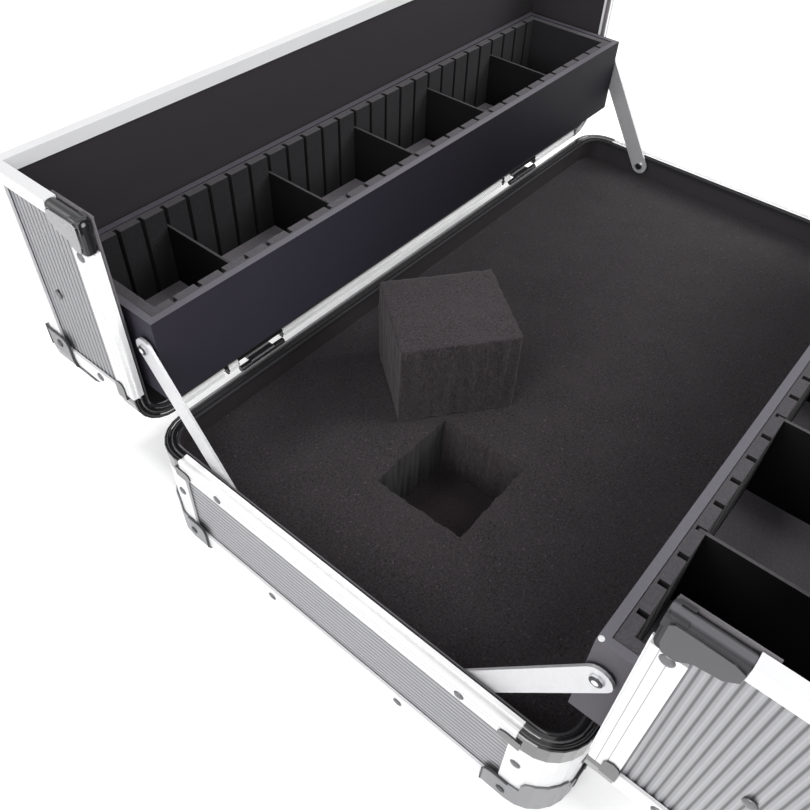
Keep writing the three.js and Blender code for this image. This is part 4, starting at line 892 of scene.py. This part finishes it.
def make_tray_floor(side, sign):
    """Thin pads on the tray floor, one in each compartment."""
    boxes = [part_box(name) for name in NODES if name.startswith(side + "_tray_divider")]
    dividers = sorted((low[0] + high[0]) / 2 for low, high in boxes)
    ends = [-PAD_HALF_LENGTH] + dividers + [PAD_HALF_LENGTH]
    y = sorted(sign * depth for depth in PAD_DEPTHS)
    for number, (left, right) in enumerate(zip(ends, ends[1:])):
        name = "%s_floor_pad_%d" % (side, number + 1)
        x = (left + 1.5 * MM, right - 1.5 * MM)
        pad = grid_sheet(name, x, y, PAD_BOTTOM, 1.2 * MM, 8 * MM, 0.25 * MM)
        # The front lid's pads take the darker copy: painted shade.
        dress(pad, "tray_floor" if side == "rear" else "front_pad_shaded")
        finish_piece(pad, side + "_tray")


# Small hardware


DOME_STEPS = 18
DOME_RINGS = [(1.0, 0.0), (1.0, 0.35), (0.86, 0.72), (0.55, 0.95), (0.18, 1.0)]


def dome(bm, centre, normal, radius, height, slot=0.0):
    """A low round head with a rolled edge, on a face with the given normal."""
    turn = Vector(normal).to_track_quat("Z", "Y").to_matrix().to_4x4()
    place = Matrix.Translation(centre) @ turn
    loops = []
    for share, lift in DOME_RINGS:
        loop = []
        for i in range(DOME_STEPS):
            angle = 2 * math.pi * i / DOME_STEPS
            x, y = radius * share * math.cos(angle), radius * share * math.sin(angle)
            z = height * lift
            if slot and abs(y) < slot and share < 0.9:
                z -= height * 0.45
            loop.append(bm.verts.new(place @ Vector((x, y, z))))
        loops.append(loop)
    for low, high in zip(loops, loops[1:]):
        for i in range(DOME_STEPS):
            k = (i + 1) % DOME_STEPS
            bm.faces.new((low[i], low[k], high[k], high[i]))
    bm.faces.new(loops[-1])
    bm.faces.new(list(reversed(loops[0])))


def heads(name, body, surface, slot_name, places, radius, height, slot=0.0):
    """One piece of several heads, at [(centre, normal), ...]."""
    bm = bmesh.new()
    for centre, normal in places:
        dome(bm, Vector(centre), normal, radius, height, slot)
    made = from_bmesh(name, bm)
    dress(made, surface)
    finish_piece(made, body)


LOW_RIVET_Z, UPRIGHT_RIVET_Z = 0.0085, 0.059
UPRIGHT_RIVET_X = 0.2715
LONG_RIVETS = (-0.18, 0.0, 0.18)
CAP_EAR, CAP_MIDDLE = 0.0315, 0.0135


def tub_rivets():
    places = []
    for sx in (-1, 1):
        for y, z in ((GROUND_PIVOT[0], 0.0865), (0.0593, LOW_RIVET_Z), (0.1455, UPRIGHT_RIVET_Z)):
            places += [((sx * HALF_LENGTH, sy * y, z), (sx, 0, 0)) for sy in (-1, 1)]
    for sy in (-1, 1):
        rows = [((-0.24, -0.08, 0.08, 0.24), RIM_Z - 0.0130), (LONG_RIVETS, LOW_RIVET_Z)]
        rows.append(((-UPRIGHT_RIVET_X, UPRIGHT_RIVET_X), UPRIGHT_RIVET_Z))
        for xs, z in rows:
            places += [((x, sy * HALF_DEPTH, z), (0, sy, 0)) for x in xs]
    return places


def lid_rivets(sign):
    hinge_side, broad_side = (0, 0, -1), (0, sign, 0)

    def at(x, across, depth):
        return (x, sign * (LID_RIM_Y + depth), LID_OUTER_Z + across)

    places = []
    for sx in (-1, 1):
        end = (sx, 0, 0)
        places.append((at(sx * HALF_LENGTH, 0.0305, 0.0382), end))
        places.append((at(sx * (HALF_LENGTH - 1.6 * MM), 0.0895, TRAY_PIVOT_DEPTH), end))
        places.append((at(sx * HALF_LENGTH, 0.1465, 0.0085), end))
    for x in LONG_RIVETS:
        places.append((at(x, 0, 0.0865), hinge_side))
        places += [(at(x, across, LID_DEPTH), broad_side) for across in (0.009, 0.1645)]
    for sx in (-1, 1):
        places.append((at(sx * UPRIGHT_RIVET_X, 0, 0.035), hinge_side))
        places += [(at(sx * 0.2915, across, LID_DEPTH), broad_side) for across in (0.06, 0.115)]
    return places


def tub_cap_screws():
    """A screw on each ear and one under each of the tub's caps."""
    x, y = HALF_LENGTH, HALF_DEPTH
    places = []
    for sx in (-1, 1):
        for sy in (-1, 1):
            places.append(((sx * (x + CAP_PROUD), sy * (y - CAP_EAR), CAP_MIDDLE), (sx, 0, 0)))
            places.append(((sx * (x - CAP_EAR), sy * (y + CAP_PROUD), CAP_MIDDLE), (0, sy, 0)))
            places.append(((sx * (x - CAP_MIDDLE), sy * (y - CAP_MIDDLE), 0.0), (0, 0, -1)))
    return places


def lid_cap_screws(sign):
    """A screw on each of the three sides of a lid's caps."""
    middle = sign * (LID_RIM_Y + LID_DEPTH - CAP_MIDDLE)
    face = sign * (LID_RIM_Y + LID_DEPTH + CAP_PROUD)
    places = []
    for sx in (-1, 1):
        places.append(((sx * (HALF_LENGTH + CAP_PROUD), middle, LID_OUTER_Z + 0.0365), (sx, 0, 0)))
        places.append(((sx * 0.2655, middle, LID_OUTER_Z - CAP_PROUD), (0, 0, -1)))
        places.append(((sx * (HALF_LENGTH - CAP_MIDDLE), face, LID_OUTER_Z + CAP_MIDDLE), (0, sign, 0)))
    return places


def make_hardware():
    rivet, cap_screw = (3.4 * MM, 1.0 * MM), (3.2 * MM, 0.8 * MM, 0.6 * MM)
    heads("base_rivets", "base", "rivet", "corner_steel", tub_rivets(), *rivet)
    y, z = GROUND_PIVOT
    lower = [((sx * 0.2855, sy * y, z), (-sx, 0, 0)) for sx in (-1, 1) for sy in (-1, 1)]
    heads("base_strut_screws", "base", "screw", "hinge_steel", lower, 3.4 * MM, 0.9 * MM, 0.8 * MM)
    heads("base_cap_screws", "base", "screw", "corner_steel", tub_cap_screws(), *cap_screw)
    for side, sign in LIDS.items():
        body = side + "_lid"
        heads(side + "_lid_rivets", body, "rivet", "corner_steel", lid_rivets(sign), *rivet)
        heads(side + "_lid_cap_screws", body, "screw", "corner_steel", lid_cap_screws(sign), *cap_screw)
        for end, sx in ENDS.items():
            body, name = side + "_tray", "%s_strut_screw_%s" % (side, end)
            y, z = sign * STRUT_TOP[0], STRUT_TOP[1]
            screw, centre = ((sx * 0.2905, y, z), (sx, 0, 0)), ((sx * 0.2910, y, z), (sx, 0, 0))
            heads(name, body, "screw", "hinge_steel", [screw], 3.6 * MM, 0.8 * MM)
            heads(name + "_centre", body, "rim_base", "hinge_steel", [centre], 1.9 * MM, 0.6 * MM)
    pin = ((-0.2832, -0.1573, TRAY_TOP), (0, 0, 1))
    heads("front_tray_pin", "front_tray", "rim_base", "hinge_steel", [pin], 1.6 * MM, 0.5 * MM)


PIPE_RADIUS = 0.75 * MM
SHARP = math.radians(50)


def outer_edges(bm, skin):
    """The sharp edges that have one of their two faces where skin(centre, normal) holds."""
    picked = []
    for edge in bm.edges:
        if len(edge.link_faces) == 2 and edge.calc_face_angle() >= SHARP:
            on_skin = [skin(face.calc_center_median(), face.normal) for face in edge.link_faces]
            if sum(on_skin) == 1:
                picked.append(edge)
    return picked


def piping(node, body, skin):
    """A thin dark line along the outer edges of a node."""
    name = node + "_outline"
    bm = bmesh.new()
    bm.from_mesh(NODES[node].data)
    bmesh.ops.remove_doubles(bm, verts=bm.verts, dist=0.001 * MM)
    curve = bpy.data.curves.new(name, "CURVE")
    curve.dimensions = "3D"
    curve.bevel_depth = PIPE_RADIUS
    curve.bevel_resolution = 1
    curve.use_fill_caps = True
    for edge in outer_edges(bm, skin):
        spline = curve.splines.new("POLY")
        spline.points.add(1)
        for spot, vertex in zip(spline.points, edge.verts):
            spot.co = (*vertex.co, 1)
    bm.free()
    temporary = new_object(name + "_line", curve)
    depsgraph = bpy.context.evaluated_depsgraph_get()
    mesh = bpy.data.meshes.new_from_object(temporary.evaluated_get(depsgraph), depsgraph=depsgraph)
    bpy.data.objects.remove(temporary)
    mesh.name = name
    made = new_object(name, mesh)
    dress(made, "outline")
    finish_piece(made, body)


def on_tub_skin(centre, normal):
    on_end = abs(centre.x) > HALF_LENGTH + 1.3 * MM and abs(normal.x) > 0.9
    on_side = abs(centre.y) > HALF_DEPTH + 1.3 * MM and abs(normal.y) > 0.9
    return on_end or on_side


def on_lid_skin(sign):
    def skin(centre, normal):
        depth = sign * centre.y - LID_RIM_Y
        on_end = abs(centre.x) > HALF_LENGTH + 0.7 * MM and abs(normal.x) > 0.9
        on_broad_side = depth > LID_DEPTH + 1.2 * MM and abs(normal.y) > 0.9
        on_hinge_side = centre.z < LID_OUTER_Z - 1.3 * MM and abs(normal.z) > 0.9
        return on_end or on_broad_side or on_hinge_side

    return skin


def make_outlines():
    for node in list(NODES):
        if "corner_cap" in node:
            side = node.split("_")[0]
            if side == "base":
                piping(node, side, on_tub_skin)
            else:
                piping(node, side + "_lid", on_lid_skin(LIDS[side]))


# Edges of the linings, a soft bead just inside each rim

BEAD_RADIUS = 1.3 * MM
BEAD_SIDES = 8
BEAD_INSET = 0.0096
BEAD_SINK = 1.9 * MM


def bead(name, path, closed, body, up):
    """A bead along a path of points, swept as a tube that is taller along up."""
    bm = bmesh.new()
    loops = []
    count = len(path)
    for i, point in enumerate(path):
        before = path[(i - 1) % count] if closed or i else point
        after = path[(i + 1) % count] if closed or i + 1 < count else point
        across = (after - before).normalized().cross(up).normalized()
        loop = []
        for k in range(BEAD_SIDES):
            angle = 2 * math.pi * k / BEAD_SIDES
            rise = up * math.sin(angle) * BEAD_RADIUS * 1.3
            loop.append(bm.verts.new(point + across * math.cos(angle) * BEAD_RADIUS + rise))
        loops.append(loop)
    rows = list(zip(loops, loops[1:]))
    if closed:
        rows.append((loops[-1], loops[0]))
    for low, high in rows:
        for k in range(BEAD_SIDES):
            n = (k + 1) % BEAD_SIDES
            bm.faces.new((low[k], low[n], high[n], high[k]))
    if not closed:
        bm.faces.new(loops[0])
        bm.faces.new(list(reversed(loops[-1])))
    made = from_bmesh(name, bm)
    dress(made, "lining_edge")
    finish_piece(made, body)


def corner_points(cx, cy, quarter, steps=8):
    """Points along a quarter circle of the bead, which starts so many quarter turns from +X."""
    radius = CORNER_RADIUS - BEAD_INSET
    points = []
    for i in range(steps + 1):
        angle = quarter * math.pi / 2 + i / steps * math.pi / 2
        points.append((cx + radius * math.cos(angle), cy + radius * math.sin(angle)))
    return points


def make_lining_edges():
    x, y = HALF_LENGTH - CORNER_RADIUS, HALF_DEPTH - CORNER_RADIUS
    end_x, free_edge = HALF_LENGTH - BEAD_INSET, LID_WIDTH - 2 * MM
    ring = []
    for cx, cy, quarter in ((x, y, 0), (-x, y, 1), (-x, -y, 2), (x, -y, 3)):
        ring += corner_points(cx, cy, quarter)
    path = [Vector((px, py, RIM_Z - BEAD_SINK)) for px, py in ring]
    bead("base_lining_edge", path, True, "base", UP)
    line = [(-end_x, free_edge)] + corner_points(-x, CORNER_RADIUS, 2)
    line += corner_points(x, CORNER_RADIUS, 3) + [(end_x, free_edge)]
    for side, sign in LIDS.items():
        body = side + "_lid"
        depth = sign * (LID_RIM_Y + BEAD_SINK)
        path = [Vector((px, depth, LID_OUTER_Z + across)) for px, across in line]
        bead(body + "_lining_edge", path, False, body, Vector((0, -sign, 0)))
        for end, sx in ENDS.items():
            places = [sign * (LID_RIM_Y + away) for away in (0.6 * MM, 20 * MM, 39 * MM)]
            path = [Vector((sx * end_x, place, LID_OUTER_Z + free_edge)) for place in places]
            bead("%s_lip_%s" % (body, end), path, False, body, UP)


# Stage, light and camera

WHITE = (1.0, 1.0, 1.0, 1)
FLOOR_SIZE = 6.0
FLOOR_GLOW = 0.4
WORLD_LIGHT = 0.05
SHOWN_RAYS = ("Is Camera Ray", "Is Glossy Ray", "Is Transmission Ray")


def make_stage():
    """A white floor that glows a little where it is seen beside the case; its glow stops under the case, as
    painted shadow.
    """
    bm = bmesh.new()
    bmesh.ops.create_grid(bm, x_segments=1, y_segments=1, size=FLOOR_SIZE)
    floor = from_bmesh("floor", bm, smooth=False)
    surface = Surface("floor_white", (0.93, 0.93, 0.93), 0.9, specular=0.1)
    surface.paint(surface.spread(surface.noise(3.0), 0.4, 0.6, 0.0, 0.5), (0.95, 0.95, 0.95))
    surface.shader.inputs["Emission Color"].default_value = WHITE
    # Painted shadow: no glow on the floor under the case.
    beside_ends = surface.spread(surface.off_middle("X"), 0.27, 0.30)
    beside_lids = surface.spread(surface.off_middle("Y"), 0.25, 0.28)
    open_floor = surface.calc("MAXIMUM", beside_ends, beside_lids)
    path = surface.node("ShaderNodeLightPath").outputs
    seen = 0.0
    for kind in SHOWN_RAYS:
        seen = surface.calc("MAXIMUM", seen, path[kind])
    glow = surface.calc("MULTIPLY", open_floor, surface.calc("MULTIPLY", seen, FLOOR_GLOW))
    surface.link(glow, surface.shader.inputs["Emission Strength"])
    floor.data.materials.append(surface.material)


def area_light(name, place, size, power):
    """A square lamp that faces the case."""
    data = bpy.data.lights.new(name, "AREA")
    data.shape = "RECTANGLE"
    data.size = data.size_y = size
    data.energy = power
    lamp = bpy.data.objects.new(name, data)
    lamp.location = place
    lamp.rotation_euler = (Vector((0, 0, 0.1)) - Vector(place)).to_track_quat("-Z", "Y").to_euler()
    bpy.context.scene.collection.objects.link(lamp)


def make_lights():
    """A world that is white where it is seen and lights little, and eight lamps."""
    world = bpy.data.worlds.new("studio")
    world.use_nodes = True
    tree = world.node_tree
    background = tree.nodes["Background"]
    background.inputs["Color"].default_value = WHITE
    path = tree.nodes.new("ShaderNodeLightPath").outputs
    shown = path[SHOWN_RAYS[0]]
    for kind in SHOWN_RAYS[1:]:
        either = tree.nodes.new("ShaderNodeMath")
        either.operation = "MAXIMUM"
        tree.links.new(shown, either.inputs[0])
        tree.links.new(path[kind], either.inputs[1])
        shown = either.outputs["Value"]
    strength = tree.nodes.new("ShaderNodeMapRange")
    strength.inputs["To Min"].default_value = WORLD_LIGHT
    strength.inputs["To Max"].default_value = 1.0
    tree.links.new(shown, strength.inputs["Value"])
    tree.links.new(strength.outputs["Result"], background.inputs["Strength"])
    bpy.context.scene.world = world
    lamps = [
        ("left", (-2.0, 0.0, 0.9), 1.0, 28.5),
        ("front", (0.0, -2.0, 0.9), 1.0, 10.0),
        ("left_front", (-1.2, -1.2, 1.3), 1.0, 11.4),
        ("left_rear", (-1.2, 1.2, 1.3), 1.0, 9.2),
        ("right_front", (1.2, -1.2, 1.3), 1.0, 31.3),
        ("right_rear", (1.2, 1.2, 1.3), 1.0, 4.7),
        ("high_rear", (-0.71, 0.71, 1.83), 0.6, 6.6),
        ("high_front", (0.45, -0.85, 1.83), 0.6, 6.2),
    ]
    for lamp in lamps:
        area_light(*lamp)


CAMERA_PLACE = (-0.46854, -0.18806, 0.52298)
CAMERA_RIGHT = Vector((0.643198, -0.765151, 0.028986))
CAMERA_UP = Vector((0.547369, 0.485938, 0.68136))
CAMERA_BACK = Vector((-0.535428, -0.422384, 0.731374))


def make_camera():
    data = bpy.data.cameras.new("camera")
    data.lens = 35.119
    data.sensor_width = 36.0
    data.clip_start = 0.01
    camera = bpy.data.objects.new("camera", data)
    turn = Matrix((CAMERA_RIGHT, CAMERA_UP, CAMERA_BACK)).transposed().to_4x4()
    camera.matrix_world = Matrix.Translation(CAMERA_PLACE) @ turn
    bpy.context.scene.collection.objects.link(camera)
    bpy.context.scene.camera = camera


def main():
    bpy.context.scene.view_settings.view_transform = "Standard"
    bpy.context.scene.view_settings.look = "None"
    make_camera()
    shade_surfaces()
    dress_frame()
    make_foam_block()
    make_foam_cube()
    for side, sign in LIDS.items():
        make_tray_liner(side)
        make_tray_floor(side, sign)
    make_hardware()
    make_outlines()
    make_lining_edges()
    make_stage()
    make_lights()


main()
